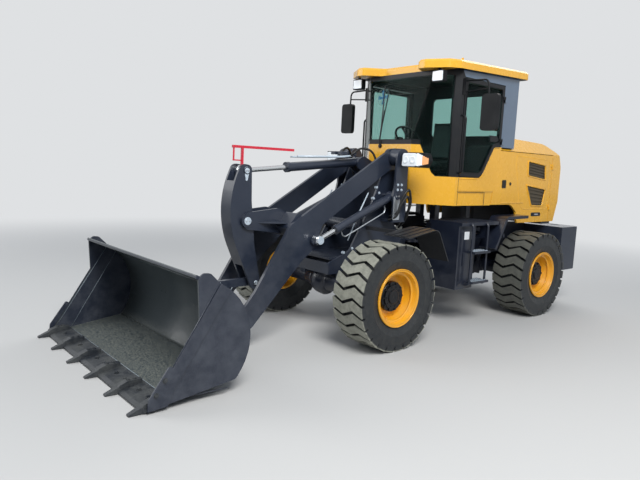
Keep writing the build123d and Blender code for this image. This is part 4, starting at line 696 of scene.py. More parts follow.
@cache
def hex_bolt_tree() -> Tree:
    """Build the tree that sets a hexagon bolt with its washer on every point of a mesh.

    Returns:
        A geometry tree with the inputs Across, Height and Finish, which reads each point's axis.
    """
    tree = bpy.data.node_groups.new("hex_bolts", "GeometryNodeTree")
    add = tree.interface.new_socket
    add("Geometry", in_out="INPUT", socket_type="NodeSocketGeometry")
    add("Across", in_out="INPUT", socket_type="NodeSocketFloat").default_value = 0.02
    add("Height", in_out="INPUT", socket_type="NodeSocketFloat").default_value = 0.01
    add("Finish", in_out="INPUT", socket_type="NodeSocketMaterial")
    add("Geometry", in_out="OUTPUT", socket_type="NodeSocketGeometry")
    start, end = node(tree, "NodeGroupInput"), node(tree, "NodeGroupOutput")
    points, across, height, finish = start.outputs[:4]
    radius = node(tree, "ShaderNodeMath", {0: across, 1: CORNER}, operation="MULTIPLY").outputs[0]
    upper = node(tree, "ShaderNodeMath", {0: radius, 1: CHAMFER}, operation="MULTIPLY").outputs[0]
    sizes = {"Vertices": 6, "Radius Top": upper, "Radius Bottom": radius, "Depth": height}
    head = node(tree, "GeometryNodeMeshCone", sizes)
    wide = node(tree, "ShaderNodeMath", {0: across, 1: WASHER_REACH}, operation="MULTIPLY").outputs[0]
    thin = node(tree, "ShaderNodeMath", {0: height, 1: WASHER_DEPTH}, operation="MULTIPLY").outputs[0]
    washer = node(tree, "GeometryNodeMeshCylinder", {"Vertices": 16, "Radius": wide, "Depth": thin})
    both = node(tree, "GeometryNodeJoinGeometry")
    tree.links.new(head.outputs["Mesh"], both.inputs[0])
    tree.links.new(washer.outputs["Mesh"], both.inputs[0])
    axis = node(tree, "GeometryNodeInputNamedAttribute", {"Name": "axis"}, data_type="FLOAT_VECTOR")
    turn = node(tree, "FunctionNodeAlignRotationToVector", {"Vector": axis.outputs[0]}, axis="Z")
    seats = {"Points": points, "Instance": both.outputs[0], "Rotation": turn.outputs[0]}
    spread = node(tree, "GeometryNodeInstanceOnPoints", seats)
    real = node(tree, "GeometryNodeRealizeInstances", {"Geometry": spread.outputs[0]})
    done = node(tree, "GeometryNodeSetMaterial", {"Geometry": real.outputs[0], "Material": finish})
    feed(end, {0: done.outputs[0]})
    return tree


@dataclass
class BoltSet:
    """Hexagon bolts of one size on one body."""

    name: str
    body: str
    across: float
    height: float
    finish: Finish = NAVY
    seats: list[tuple[Vector, Vector]] = field(default_factory=list)

    def add(self, at: Point, axis: Point) -> None:
        """Seat one bolt at a point in millimetres, its head rising along axis."""
        self.seats.append((Vector(at) * MM, Vector(axis).normalized()))

    def pair(self, x: float, y: float, z: float, axis: Point = (1, 0, 0)) -> None:
        """Seat a bolt of the left side, and the same on the right."""
        for (at,), (way,) in zip(mirrored((x, y, z)), mirrored(axis)):
            self.add(at, way)

    def build(self) -> None:
        """Turn the seats into bolts with the geometry tree, as one plain mesh."""
        data = bpy.data.meshes.new(self.name + "_seats")
        data.from_pydata([at for at, _ in self.seats], [], [])
        axes = data.attributes.new("axis", "FLOAT_VECTOR", "POINT")
        for number, (_, axis) in enumerate(self.seats):
            axes.data[number].vector = axis
        item = show(self.name, data)
        modifier = item.modifiers.new("bolts", "NODES")
        modifier.node_group = tree = hex_bolt_tree()
        sockets = {s.name: s.identifier for s in tree.interface.items_tree if s.in_out == "INPUT"}
        modifier[sockets["Across"]] = self.across * MM
        modifier[sockets["Height"]] = self.height * MM
        modifier[sockets["Finish"]] = material_of(self.finish)
        settle(item)
        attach(item, self.body)
        log.info("bolts %s on %s: %d", self.name, self.body, len(self.seats))


@dataclass
class Studio:
    """The pale floor, the soft lights and the camera at the photo's place."""

    camera_at: Point = (4.765, -4.852, 1.755)
    yaw: float = 49.18
    pitch: float = 7.15
    roll: float = 2.67
    lens: float = 32.7
    sensor: float = 36.0
    backdrop: str = "#dfe1e3"
    sky: str = "#d3e2f6"
    floor_radius: float = 60.0
    fade_from: float = 5.0
    fade_to: float = 13.0
    # name, place, size in metres and power in watts of each lamp
    lamps: tuple = (
        ("key", (6.5, -4.0, 8.0), 5.0, 980.0),
        ("fill", (-6.0, -7.5, 5.5), 7.0, 300.0),
        ("back", (-3.5, 7.5, 7.0), 7.0, 360.0),
    )

    def build(self) -> None:
        """Add the floor, the world, the lamps and the camera."""
        bpy.context.scene.view_settings.view_transform = "Standard"
        self.floor()
        self.world()
        for name, at, size, power in self.lamps:
            lamp = bpy.data.lights.new(name, "AREA")
            lamp.shape, lamp.size, lamp.energy = "DISK", size, power
            item = show(name, lamp)
            item.location = at
            item.rotation_euler = (Vector((0, 0, 1)) - Vector(at)).to_track_quat("-Z", "Y").to_euler()
        self.camera()

    def floor(self) -> None:
        """Add a pale floor that turns into the backdrop's colour far out, so that no horizon shows."""
        mesh = bmesh.new()
        bmesh.ops.create_circle(mesh, cap_ends=True, segments=96, radius=self.floor_radius)
        item = poured("floor", mesh)
        item.location = (0, 0, -0.001)
        material, shader, where = Finish("pale_floor", "#c4c3c0", 0.9).start()
        tree = material.node_tree
        reach = node(tree, "ShaderNodeVectorMath", {0: where}, operation="LENGTH").outputs[1]
        fade = {0: reach, 1: self.fade_from, 2: self.fade_to}
        far = node(tree, "ShaderNodeMapRange", fade, interpolation_type="SMOOTHSTEP").outputs[0]
        both = {0: far, 1: node(tree, "ShaderNodeLightPath").outputs["Is Camera Ray"]}
        seen = node(tree, "ShaderNodeMath", both, operation="MULTIPLY").outputs[0]
        glow = node(tree, "ShaderNodeEmission", {"Color": linear(self.backdrop), "Strength": 1.0})
        mix = node(tree, "ShaderNodeMixShader", {0: seen, 1: shader.outputs[0], 2: glow.outputs[0]})
        feed(tree.nodes["Material Output"], {"Surface": mix.outputs[0]})
        item.data.materials.append(material)

    def world(self) -> None:
        """Set a pale backdrop that metal and glass see too."""
        world = bpy.context.scene.world = bpy.data.worlds.new("backdrop")
        world.use_nodes = True
        tree = world.node_tree
        tree.nodes.clear()
        path = node(tree, "ShaderNodeLightPath").outputs
        shown = path["Is Camera Ray"]
        for ray in ("Is Glossy Ray", "Is Transmission Ray"):
            shown = node(tree, "ShaderNodeMath", {0: shown, 1: path[ray]}, operation="MAXIMUM").outputs[0]
        light = node(tree, "ShaderNodeBackground", {"Color": linear(self.sky), "Strength": 0.42})
        back = node(tree, "ShaderNodeBackground", {"Color": linear(self.backdrop), "Strength": 1.0})
        mix = node(tree, "ShaderNodeMixShader", {0: shown, 1: light.outputs[0], 2: back.outputs[0]})
        node(tree, "ShaderNodeOutputWorld", {"Surface": mix.outputs[0]})

    def camera(self) -> None:
        """Add the camera that matches the photo's view."""
        data = bpy.data.cameras.new("camera")
        data.lens, data.sensor_width, data.clip_end = self.lens, self.sensor, 200.0
        item = bpy.context.scene.camera = show("camera", data)
        a, e, roll = (math.radians(v) for v in (self.yaw, self.pitch, self.roll))
        back = Vector((math.sin(a) * math.cos(e), -math.cos(a) * math.cos(e), math.sin(e)))
        right = (-back).cross(Vector((0, 0, 1))).normalized()
        up = right.cross(-back)
        right_rolled = right * math.cos(roll) + up * math.sin(roll)
        up_rolled = up * math.cos(roll) - right * math.sin(roll)
        turn = Matrix((right_rolled, up_rolled, back)).transposed()
        item.matrix_world = Matrix.Translation(self.camera_at) @ turn.to_4x4()


@dataclass
class Bodywork:
    """The painted CAD nodes and the finish of each."""

    plain: tuple = (
        (NAVY, "boom", "front_chassis", "bellcrank", "link", "counterweight"),
        # the rear frame, side boxes and axles take the darker copy of the enamel: painted shade
        (SHADED_NAVY, "side_box_left", "side_box_right", "rear_chassis", "rear_fenders"),
        (SHADED_NAVY, "front_axle", "rear_axle"),
        (FENDER_PAINT, "front_fenders"),
        (YELLOW, "cab_shell", "cab_roof", "hood", "engine_door_left", "engine_door_right"),
        (CAB_PAINT, "cab_frame", "door_left", "door_right"),
        (GLASS, "cab_glass", "corner_glass", "door_glass_left", "door_glass_right"),
        (PLASTIC, "steering_column", "mirrors", "work_lamps", "headlamps", "air_cleaner"),
        (BUCKET, "bucket"),
        (EDGE_STEEL, "cutting_edge"),
        (IRON, "engine_block"),
        (VINYL, "seat"),
        (RED, "level_indicator"),
    )

    def build(self) -> None:
        """Dress every painted node, then the parts of nodes with a finish of their own."""
        for finish, *names in self.plain:
            for name in names:
                dress(name, finish)
        for name in ("lift_left", "lift_right", "tilt", "steer_left", "steer_right"):
            dress(name + "_barrel", NAVY)
            dress(name + "_rod", CHROME)
        repaint("bucket", BUCKET_IN, self.inside_bucket)
        # the header over the door and the rear pillar get a pale painted reflection of the sky
        repaint("cab_frame", CAB_PANEL_REFLECTION, self.cab_panel)
        repaint("cab_shell", PLASTIC, self.inside_cab)
        repaint("cab_roof", PLASTIC, self.ceiling)
        for side in Side:
            repaint(f"lift_{side.tag}_barrel", ZINC, self.lift_pipe)
            repaint(f"engine_door_{side.tag}", GRILLE, self.in_grille)

    @staticmethod
    def ceiling(face: Face) -> bool:
        """Tell whether a face of the roof is the cab's ceiling."""
        x, y, _ = face.center
        return face.normal.z < -0.9 and abs(x) < 0.72 and 0.45 < y < 1.6

    @staticmethod
    def lift_pipe(face: Face) -> bool:
        """Tell whether a face is on the zinc-plated pipe under a lift barrel, seen from the side.

        Args:
            face: A face of the barrel.

        Returns:
            Whether it lies off the cylinder's axis.
        """
        base, tip = Vector((-0.06, 1.475)), Vector((-1.105, 1.031))
        run = (tip - base).normalized()
        reach = Vector(face.center.yz) - base
        along = reach.dot(run)
        return along >= 0.06 and (reach - run * along).length > 0.062

    @staticmethod
    def in_grille(face: Face) -> bool:
        """Tell whether a face of an engine door lies in the recess of a grille."""
        x, y, z = face.center
        return 0.715 <= abs(x) <= 0.7355 and 2.13 < y < 2.62 and (1.72 < z < 1.96 or 1.37 < z < 1.645)

    @staticmethod
    def inside_bucket(face: Face) -> bool:
        """Tell whether a face is on the worn inside of the bucket.

        Args:
            face: A face of the bucket.

        Returns:
            Whether it is on the inner back or floor, or the end of an ear there.
        """
        (x, y, z), normal = face.center, face.normal
        ear = face.area < 0.006 and abs(x) < 0.42 and 0.1 < z < 0.95
        skin = abs(normal.x) <= 0.9 and normal.dot(Vector((0, y + 2.85, z - 0.65))) < 0
        return abs(x) <= 1.1255 and y <= -2.36 and (ear or skin)

    @staticmethod
    def inside_cab(face: Face) -> bool:
        """Tell whether a face is trimmed in black inside the cab.

        Args:
            face: A face of the cab shell.

        Returns:
            Whether it is on the floor, or a wall that faces inwards.
        """
        (x, y, z), normal = face.center, face.normal
        if abs(x) > 0.742:
            return False
        if abs(normal.z) > 0.9:
            return normal.z > 0 and z < 1.6 and 0.4 < y < 1.5
        return normal.x * -x + normal.y * (0.97 - y) > 0.05

    @staticmethod
    def cab_panel(face: Face) -> bool:
        """Tell whether a face of the cab frame is on the header over the door or the rear pillar, which carry
        a painted reflection.
        """
        x, y, z = face.center
        return abs(x) > 0.7 and abs(face.normal.x) > 0.9 and (z > 2.76 or y > 1.44)


@dataclass
class Wheel:
    """One wheel: its rubber, rim paint and black hub, its bolts, hub cover, lock ring and valve."""

    side: Side
    end: str
    y: float
    dust: float
    track: float = 920.0
    axle_z: float = 527.2
    hub_reach: float = 0.11859
    bolts: int = 10

    @property
    def name(self) -> str:
        """The wheel's name, such as "front_left"."""
        return f"{self.end}_{self.side.tag}"

    def at(self, out: float, back: float = 0.0, up: float = 0.0) -> Point:
        """Return a point in millimetres, measured outwards from the middle of the wheel."""
        return self.side.value * (self.track + out), self.y + back, self.axle_z + up

    def build(self) -> None:
        """Dress the wheel."""
        name, body, axis = self.name, f"wheel_{self.name}", (self.side.value, 0, 0)
        rubber = TyreRubber(
            f"tyre_rubber_{name}", "#14191f", 0.5, centre=tuple(Vector(self.at(0)) * MM), dust_share=self.dust
        )
        dress(f"tyre_{name}", rubber)
        dress(f"rim_{name}", RIM_PAINT)
        repaint(f"rim_{name}", BLACK, self.on_hub)
        for kind, across, height, out, ring in (("hub", 20.0, 12.0, 92, 132), ("cap", 11.0, 6.0, 108, 98)):
            bolts = BoltSet(f"{kind}_bolts_{name}", body, across, height, BLACK)
            for a in around(self.bolts):
                bolts.add(self.at(out, ring * math.cos(a), ring * math.sin(a)), axis)
            bolts.build()
        disc, ring = bmesh.new(), bmesh.new()
        flange = [(54, 118), (54, 146), (60, 150), (88, 150), (92, 146), (92, 118)]
        boss = [(0, 0), (0, 74), (10, 70), (14, 62), (14, 20), (11, 0)]
        add_lathe(disc, self.at(0), axis, flange, 48)
        add_lathe(disc, self.at(107), axis, boss, 40)
        place(f"hub_disc_{name}", disc, BLACK, body)
        lock = [(168, 276), (186, 279), (190, 284), (186, 289), (172, 288)]
        seat = [(122, 240), (124, 228), (136, 226), (141, 232), (142, 250)]
        for profile in (lock, seat):
            add_lathe(ring, self.at(0), axis, profile, 72)
        add_tube(ring, [self.at(130, -140, -175), self.at(176, -146, -182)], 5.0)
        place(f"lock_ring_{name}", ring, RIM_PAINT, body, smooth=True)

    def on_hub(self, face: Face) -> bool:
        """Tell whether a face of the rim is on its black hub."""
        off = face.center - Vector(self.at(0)) * MM
        return off.yz.length < self.hub_reach and off.x * self.side.value > 0.05


@dataclass
class PinDressing:
    """Covers, keepers and bolts on the ends of the linkage pins."""

    # name, body, x of the face it sits on, y and z, radius, thickness, finish
    caps: tuple = (
        ("pivot", "boom", 488.0, 0.0, 1900.0, 46.0, 6.0, NAVY),
        ("crank", "boom", 127.0, -1769.0, 1211.0, 38.0, 9.0, KEEPER),
        ("crank_top", "bellcrank", 96.0, -1770.0, 1688.0, 26.0, 8.0, KEEPER),
        ("crank_foot", "bellcrank", 96.0, -1631.0, 595.0, 22.0, 7.0, KEEPER),
        ("bucket_pin", "bucket", 376.0, -2060.0, 235.0, 30.0, 8.0, KEEPER),
        ("lift_base", FRONT, 476.0, -60.0, 1475.0, 40.0, 8.0, NAVY),
    )

    def build(self) -> None:
        """Add the covers on both sides, each with its bolts, and the keepers."""
        for name, body, x, y, z, radius, depth, finish in self.caps:
            mesh = bmesh.new()
            rim = [(-1, 0), (-1, radius), (depth - 2, radius), (depth, radius - 3)]
            dished = [(depth, radius * 0.3), (depth - 1, 0)]
            bolts = BoltSet(f"{name}_cap_bolts", body, 13.0, 6.0, ZINC)
            for side in Side:
                add_lathe(mesh, (side.value * x, y, z), (side.value, 0, 0), rim + dished)
            for share in (-0.5, 0.5):
                bolts.pair(x + depth, y + share * radius, z)
            place(f"{name}_caps", mesh, finish, body)
            bolts.build()
        cap = [(-1, 0), (-1, 40), (5, 42), (9, 38), (9, 12), (7, 0)]
        for side in Side:
            mesh = bmesh.new()
            add_lathe(mesh, (side.value * 437, -1105, 1031), (side.value, 0, 0), cap)
            place(f"lift_pin_cap_{side.tag}", mesh, KEEPER, f"lift_{side.tag}_rod")
        mesh = bmesh.new()
        # drop-shaped keeper that stops the top pin from turning
        tip = [(-1770 + 30 * math.cos(a), 1695 + 30 * math.sin(a)) for a in around(24)[:13]]
        foot = [(-1784, 1620), (-1781, 1600), (-1770, 1590), (-1759, 1600), (-1756, 1620)]
        add_pair(mesh, tip + foot, 88, 94, 1.5)
        place("crank_keepers", mesh, KEEPER, "bellcrank")


@dataclass
class BucketDressing:
    """Bolts of the cutting edge, weld beads and the wear layer of the bucket."""

    teeth: int = 6
    span: float = 1074.0

    def build(self) -> None:
        """Add the bolts, the wear layer and the beads."""
        bolts = BoltSet("edge_bolts", "bucket", 26.0, 12.0, EDGE_STEEL)
        step = 2 * self.span / (self.teeth - 1)
        for k in range(self.teeth):
            x = -self.span + step * k
            for y, z in ((-3150.0, 86.0), (-3100.0, 86.5)):
                bolts.add((x, y, z), (0, 0.05, 1))
            if k < self.teeth - 1:
                for share in (0.3, 0.7):
                    bolts.add((x + step * share, -3120.0, 48.0), (0, -0.11, 0.99))
        for y, z in ((-3150.0, 130.0), (-3085.0, 225.0)):
            bolts.pair(1137.0, y, z)
        bolts.build()
        mesh = bmesh.new()
        # rolled layer over the skin, whose middle stands 15 mm proud of the welded ears' ends
        face = arc((-2507.0, 127.0), (-2418.0, 560.0), (-2571.0, 800.0), 28)
        back = [(y + 3.0, z) for y, z in reversed(face)]
        add_plate(mesh, Facing.X, face + back, -1108.6, 1108.6, 0)
        place("bucket_wear_layer", mesh, BUCKET_IN, "bucket", smooth=True)
        mesh = bmesh.new()
        # pale bead where the edge plate meets the floor and the sides meet the skin; its pale colour is a
        # painted highlight along these edges
        add_tube(mesh, [(-1100, -3022, 59), (1100, -3022, 59)], 3.0)
        for run in (
            *mirrored((1106, -3130, 120), (1106, -2640, 875)),
            *mirrored((1106, -3010, 60), (1106, -2540, 830)),
        ):
            add_tube(mesh, run, 3.0)
        place("edge_weld_painted_highlight", mesh, PALE_BEAD_HIGHLIGHT, "bucket", smooth=True)
        mesh = bmesh.new()
        for run in mirrored((1108, -3010, 60), (1108, -2560, 50)):
            add_tube(mesh, run, 5.0)
        for run in (
            *mirrored((1126, -2670, 860), (1126, -3180, 60)),
            *mirrored((1126, -2580, 800), (1126, -3080, 45)),
        ):
            add_tube(mesh, run, 3.5)
        place("bucket_welds", mesh, BUCKET, "bucket", smooth=True)


@dataclass(frozen=True)
class Line:
    """A pipe or hose: its corners, radius and bends in millimetres, its finish and what carries it."""

    name: str
    route: list[Point]
    radius: float
    bend: float
    finish: Finish = HOSE
    body: str = FRONT
    crossing: Crossing | None = None


ACROSS_TILT_PIN = Crossing(TILT, (0.0, -0.1, 1.74), (0.0, -0.4, 1.9))
LIFT_HOSES = mirrored(
    (430, -120, 1250), (500, -60, 1300), (530, -30, 1480), (556, 40, 1570),
    (545, 100, 1420), (470, 120, 1230), (390, 110, 1150),
)
LOW_HOSE = [
    (430, -140, 1210), (500, -80, 1250), (535, -40, 1410), (560, 20, 1500),
    (548, 75, 1380), (470, 90, 1200), (390, 85, 1120),
]
INNER_PIPES = mirrored((296, -330, 1500), (296, -480, 1240), (296, -600, 990))
TILT_HOSE = [(100, -440, 1890), (110, -300, 1990), (170, -170, 1960), (210, -120, 1800), (200, -60, 1640)]
FAR_TILT_HOSE = [
    (-100, -440, 1888), (-120, -300, 2000), (-190, -170, 1950), (-210, -120, 1790), (-200, -60, 1630)
]
PILOT_PIPE = [(70, -1150, 1852), (70, -560, 1874), (100, -430, 1890)]
FAR_PILOT_PIPE = [(-70, -1130, 1846), (-70, -560, 1868), (-100, -430, 1886)]


@dataclass
class TowerDressing:
    """Bolts, zinc plates, pipes and hoses on the front frame and its tilt cylinder."""

    lines: tuple[Line, ...] = (
        Line("pilot_pipe", PILOT_PIPE, 12.0, 60.0, KEEPER, TILT),
        Line("pilot_pipe_far", FAR_PILOT_PIPE, 9.0, 60.0, KEEPER, TILT),
        Line("tilt_hose", TILT_HOSE, 12.0, 140.0, crossing=ACROSS_TILT_PIN),
        Line("tilt_hose_far", FAR_TILT_HOSE, 12.0, 140.0, crossing=ACROSS_TILT_PIN),
        Line("lift_hose", LIFT_HOSES[0], 13.0, 170.0),
        Line("lift_hose_low", LOW_HOSE, 13.0, 170.0),
        Line("lift_hose_far", LIFT_HOSES[1], 13.0, 170.0),
        Line("inner_pipe", INNER_PIPES[0], 7.0, 60.0, KEEPER),
        Line("inner_pipe_far", INNER_PIPES[1], 7.0, 60.0, KEEPER),
    )
    # outer face of the tower's plates, and the two faces of its inner ribs
    cheek: float = 476.0
    rib: tuple[float, float] = (262.0, 286.0)

    def build(self) -> None:
        """Add the lines, plates, bolts and clamps."""
        for line in self.lines:
            mesh = bmesh.new()
            add_tube(mesh, line.route, line.radius, line.bend, 12)
            place(line.name, mesh, line.finish, line.body, smooth=True, crossing=line.crossing)
        plates, clamps = bmesh.new(), bmesh.new()
        outline = [(-116, 1216), (-14, 1216), (-14, 1430), (-44, 1482), (-116, 1470)]
        add_pair(plates, rounded(outline, 12), self.cheek, self.cheek + 5, 1.5)
        place("zinc_plates", plates, ZINC, FRONT)
        bolts = BoltSet("tower_bolts", FRONT, 20.0, 9.0, KEEPER)
        for y, z in ((-60, 1600), (0, 1600), (-60, 1545), (0, 1545)):
            bolts.pair(self.cheek, y, z)
        for y, z in ((-150, 1500), (-190, 1560), (-230, 1440), (-520, 900), (-640, 860)):
            bolts.pair(self.rib[1], y, z)
            bolts.pair(self.rib[0], y, z, (-1, 0, 0))
        bolts.build()
        for x in (-55, 55):
            add_plate(clamps, Facing.Z, rectangle(x - 35, x + 35, -560, -470, 10), 1900, 1935, 3)
        place("pipe_clamps", clamps, NAVY, TILT)


@dataclass
class CabDressing:
    """Seams, lamps, wiper, lifting eyes and the fan of the cab."""

    # planes of the doors' glass beads, and of the lower shell's lip and panels
    bead_x: float = 750.0
    lip_x: float = 743.0
    panel_x: float = 744.5
    box_top: float = 3029.0
    roof_slope: float = 0.035
    fan_at: Point = (-327.0, 470.0, 2640.0)

    def build(self) -> None:
        """Add every piece of the cab."""
        for step in (self.seams, self.panel_gaps, self.lamps, self.wiper, self.eyes, self.fan):
            step()

    def seams(self) -> None:
        """Add the rubber beads round the fixed glass and the doors' glass."""
        mesh = bmesh.new()
        for run in mirrored((333, 283, 2112), (487, 401, 2832)):
            add_tube(mesh, run, 5.0)
        for run in mirrored(
            (330, 281, 2113), (401, 336, 2113), (408, 346, 2066),
            (512, 432, 1756), (548, 461, 1716), (672, 548, 1716),
        ):
            add_tube(mesh, run, 6.0, 10.0)
        for run in (
            *mirrored((674, 552, 1716), (674, 552, 2830)),
            [(-330, 284, 2113), (330, 284, 2113)],
        ):
            add_tube(mesh, run, 6.0)
        place("glass_beads", mesh, PLASTIC, REAR, smooth=True)
        pane = [(700, 2770), (690, 2755), (690, 1785), (700, 1768), (1010, 1768), (1030, 1778)]
        pane += [(1078, 1802), (1280, 2120), (1392, 2146), (1392, 2755), (1375, 2770), (700, 2770)]
        for side in Side:
            bead = bmesh.new()
            add_tube(bead, [(side.value * self.bead_x, y, z) for y, z in pane], 5.0, 8.0)
            place(f"door_bead_{side.tag}", bead, PLASTIC, f"door_{side.tag}", smooth=True)

    def panel_gaps(self) -> None:
        """Add the rolled upper lip of the cab's lower shell, and the dark gaps between its panels."""
        lip, gaps = bmesh.new(), bmesh.new()
        line = ((660, 1699), (1036, 1699), (1098, 1731), (1316, 2076), (1420, 2086))
        for run in mirrored(*((self.lip_x, y, z) for y, z in line)):
            add_tube(lip, run, 8.0, 26.0, 10)
        place("shell_lip", lip, YELLOW, REAR, smooth=True)
        for outline in (
            rectangle(650, 656, 1392, 1706),
            rectangle(656, 1180, 1546, 1541),
            rectangle(1178, 1184, 1392, 1546),
        ):
            add_pair(gaps, outline, self.panel_x, self.panel_x + 1.7, 0)
        place("panel_gaps", gaps, GAP, REAR)

    def lamps(self) -> None:
        """Add the lenses of the work lamps, headlamps and tail lamps."""
        work, clear, rings, amber, tail = (bmesh.new() for _ in range(5))
        for side in Side:
            s = side.value
            add_plate(work, Facing.Y, rectangle(s * 556, s * 694, 2747, 2851, 12), 306, 299, 3)
            outline = [(s * 512, 1806), (s * 524, 1946), (s * 714, 1946), (s * 714, 1806)]
            add_plate(clear, Facing.Y, rounded(outline, 26), -53, -68, 7)
            for x in (568, 664):
                dish = [(0, 40), (3, 42), (5, 38), (3, 26), (3, 0)]
                add_lathe(rings, (s * x, -67, 1876), (0, -1, 0), dish)
            # the lens wraps round the case's cut corner, and its amber end tapers
            for k in range(6):
                x0, x1 = 716 + 13.6 * k, 716 + 13.6 * (k + 1)
                y0, y1 = -64 + 14.5 * k, -64 + 14.5 * (k + 1)
                corner = [(s * x0, y0), (s * x1, y1), (s * (x1 + 3), y1 + 9), (s * (x0 - 2), y0 + 9)]
                add_plate(clear if k < 3 else amber, Facing.Z, corner, 1812 + 5 * k, 1946 - 9 * k, 0)
            add_plate(tail, Facing.Y, rectangle(s * 612, s * 788, 892, 968, 12), 3302, 3310, 3)
        place("work_lamp_lenses", work, LENS, REAR)
        place("headlamp_lenses", clear, LENS, FRONT)
        place("lamp_reflectors", rings, LENS, FRONT, smooth=True)
        place("turn_lenses", amber, AMBER, FRONT)
        place("tail_lenses", tail, TAIL_RED, REAR)

    def wiper(self) -> None:
        """Add the wiper with its arm and blade."""
        mesh = bmesh.new()
        hub = [(-2, 0), (-2, 26), (14, 24), (20, 14), (20, 0)]
        add_lathe(mesh, (-148, 281, 2040), (0, -1, 0), hub)
        add_tube(mesh, [(-148, 268, 2040), (-150, 262, 2100), (-150, 318, 2460)], 7.0, 30.0)
        add_tube(mesh, [(-170, 290, 2180), (-138, 378, 2740)], 6.0)
        blade = [(-176, 2170), (-164, 2170), (-132, 2745), (-144, 2745)]
        add_plate(mesh, Facing.Y, blade, 296, 290, 1)
        place("wiper", mesh, BLACK, REAR)

    def eyes(self) -> None:
        """Add the lifting eyes on the sloping roof, no higher than the CAD box."""
        mesh = bmesh.new()
        for y in (620.0, 1494.0):
            z = 2987 + (y - 600) * self.roof_slope
            top = min(z + 40, self.box_top)
            outline = [(y - 26, z - 8), (y + 26, z - 8), (y + 16, top), (y - 16, top)]
            add_pair(mesh, rounded(outline, 12), 700, 710, 2)
        place("lifting_eyes", mesh, YELLOW, REAR)

    def fan(self) -> None:
        """Add the small fan that clears the windshield."""
        guard, blades = bmesh.new(), bmesh.new()
        centre = Vector(self.fan_at)
        for radius in (60, 100):
            add_tube(guard, [self.on_fan(a, radius) for a in (*around(24), TURN)], 2.5, 1.0, 6)
        for a in around(12):
            add_tube(guard, [self.on_fan(a, 22), self.on_fan(a, 100)], 1.6, 0.0, 6)
        add_tube(guard, [(-327, 480, 2540), (-327, 480, 2420), (-327, 440, 2120)], 7.0, 20.0)
        place("fan_guard", guard, ZINC, REAR, smooth=True)
        add_lathe(blades, centre, (0, -1, 0), [(-14, 0), (-14, 20), (6, 18), (10, 0)])
        for a in around(4):
            tips = [(10, -0.35), (84, -0.3), (88, 0.25), (40, 0.6), (14, 0.5)]
            outline = [(centre.x + r * math.cos(a + t), centre.z + r * math.sin(a + t)) for r, t in tips]
            add_plate(blades, Facing.Y, outline, centre.y + 2, centre.y - 1, 0)
        place("fan_blades", blades, BLUE, REAR)

    def on_fan(self, angle: float, reach: float) -> Point:
        """Return the point of the fan at an angle and a distance from its middle."""
        return tuple(Vector(self.fan_at) + Vector((math.cos(angle), 0, math.sin(angle))) * reach)


@dataclass
class HoodDressing:
    """Latches, locks and raised frames on the hood's doors."""

    grilles: tuple = (
        ((2140.0, 1950.0), (2556.0, 1908.0), (2584.0, 1727.0), (2159.0, 1770.0)),
        ((2144.0, 1637.0), (2605.0, 1586.0), (2548.0, 1376.0), (2288.0, 1385.0)),
    )
    skin: float = 737.0
    # pressed line round the raised field that holds the grilles
    field_line: tuple = (
        (1850, 2012), (2660, 1984), (2708, 1900), (2700, 1330), (2060, 1335),
        (1985, 1420), (1850, 1900), (1850, 2012), (1900, 2011),
    )

    def build(self) -> None:
        """Add the frames, latch, lock, slot and grip on both doors."""
        for side in Side:
            s, skin, body = side.value, side.value * self.skin, f"engine_door_{side.tag}"
            frames, dark, pale = bmesh.new(), bmesh.new(), bmesh.new()
            for corners in self.grilles:
                middle = sum((Vector(c) for c in corners), Vector((0, 0))) / 4
                wide = [tuple(middle + (Vector(c) - middle) * 1.07) for c in corners]
                add_tube(frames, [(skin + s * 2, y, z) for y, z in (*wide, *wide[:2])], 9.0, 30.0, 10)
            # swage that runs along the door between the grilles
            add_plate(frames, Facing.X, rectangle(1560, 2080, 1408, 1424, 7), skin, skin + s * 5, 3)
            add_tube(frames, [(skin - s * 2, y, z) for y, z in self.field_line], 6.0, 50.0)
            place(f"grille_frames_{side.tag}", frames, YELLOW, body, smooth=True)
            add_plate(dark, Facing.X, rectangle(1555, 1640, 1600, 1700, 14), skin, skin + s * 8, 3)
            lock = [(0, 0), (0, 20), (6, 20), (9, 15), (9, 6), (6, 0)]
            add_lathe(dark, (skin, 1740, 1655), (s, 0, 0), lock)
            add_plate(dark, Facing.X, rectangle(2300, 2540, 1235, 1285, 22), skin, skin + s * 4, 2)
            place(f"door_latch_{side.tag}", dark, BLACK, body)
            add_plate(pale, Facing.X, rectangle(2380, 2470, 1250, 1268, 8), skin + s * 4, skin + s * 12, 3)
            place(f"door_grip_{side.tag}", pale, ZINC, body)


@dataclass
class StepDressing:
    """Grip studs, bolts and blank plates of the steps, decks and side boxes."""

    deck_z: float = 1206.0
    # the side boxes' outer face and that of their doors
    box: float = 846.0
    door: float = 851.0

    def build(self) -> None:
        """Add the studs, box doors and plates."""
        up = (0, 0, 1)
        studs = BoltSet("step_studs", REAR, 15.0, 5.0, KEEPER)
        for z in (525.0, 875.0):
            for k in range(8):
                for x in (835.0, 880.0, 925.0):
                    studs.pair(x, 800 + 37 * k, z, up)
        studs.build()
        deck = BoltSet("deck_studs", REAR, 12.0, 2.5, NAVY)
        for i in range(11):
            for j in range(16):
                deck.pair(430 + 42 * i, 630 + 45 * j, self.deck_z, up)
        deck.build()
        # the box doors and their bolts take the darker copy of the enamel: painted shade
        doors, plates, bolts = bmesh.new(), bmesh.new(), BoltSet("box_bolts", REAR, 18.0, 7.0, SHADED_NAVY)
        add_pair(doors, rectangle(652, 888, 484, 1106, 18), self.box, self.door, 2)
        add_pair(doors, rectangle(690, 720, 700, 860, 8), self.door, self.door + 15, 4)
        add_pair(plates, rectangle(700, 792, 1008, 1098, 6), self.door, self.door + 2, 0.5)
        for y in (675.0, 865.0):
            for z in (510.0, 1080.0):
                bolts.pair(self.door, y, z)
        place("box_doors", doors, SHADED_NAVY, REAR)
        place("blank_plates", plates, WHITE, REAR)
        bolts.build()


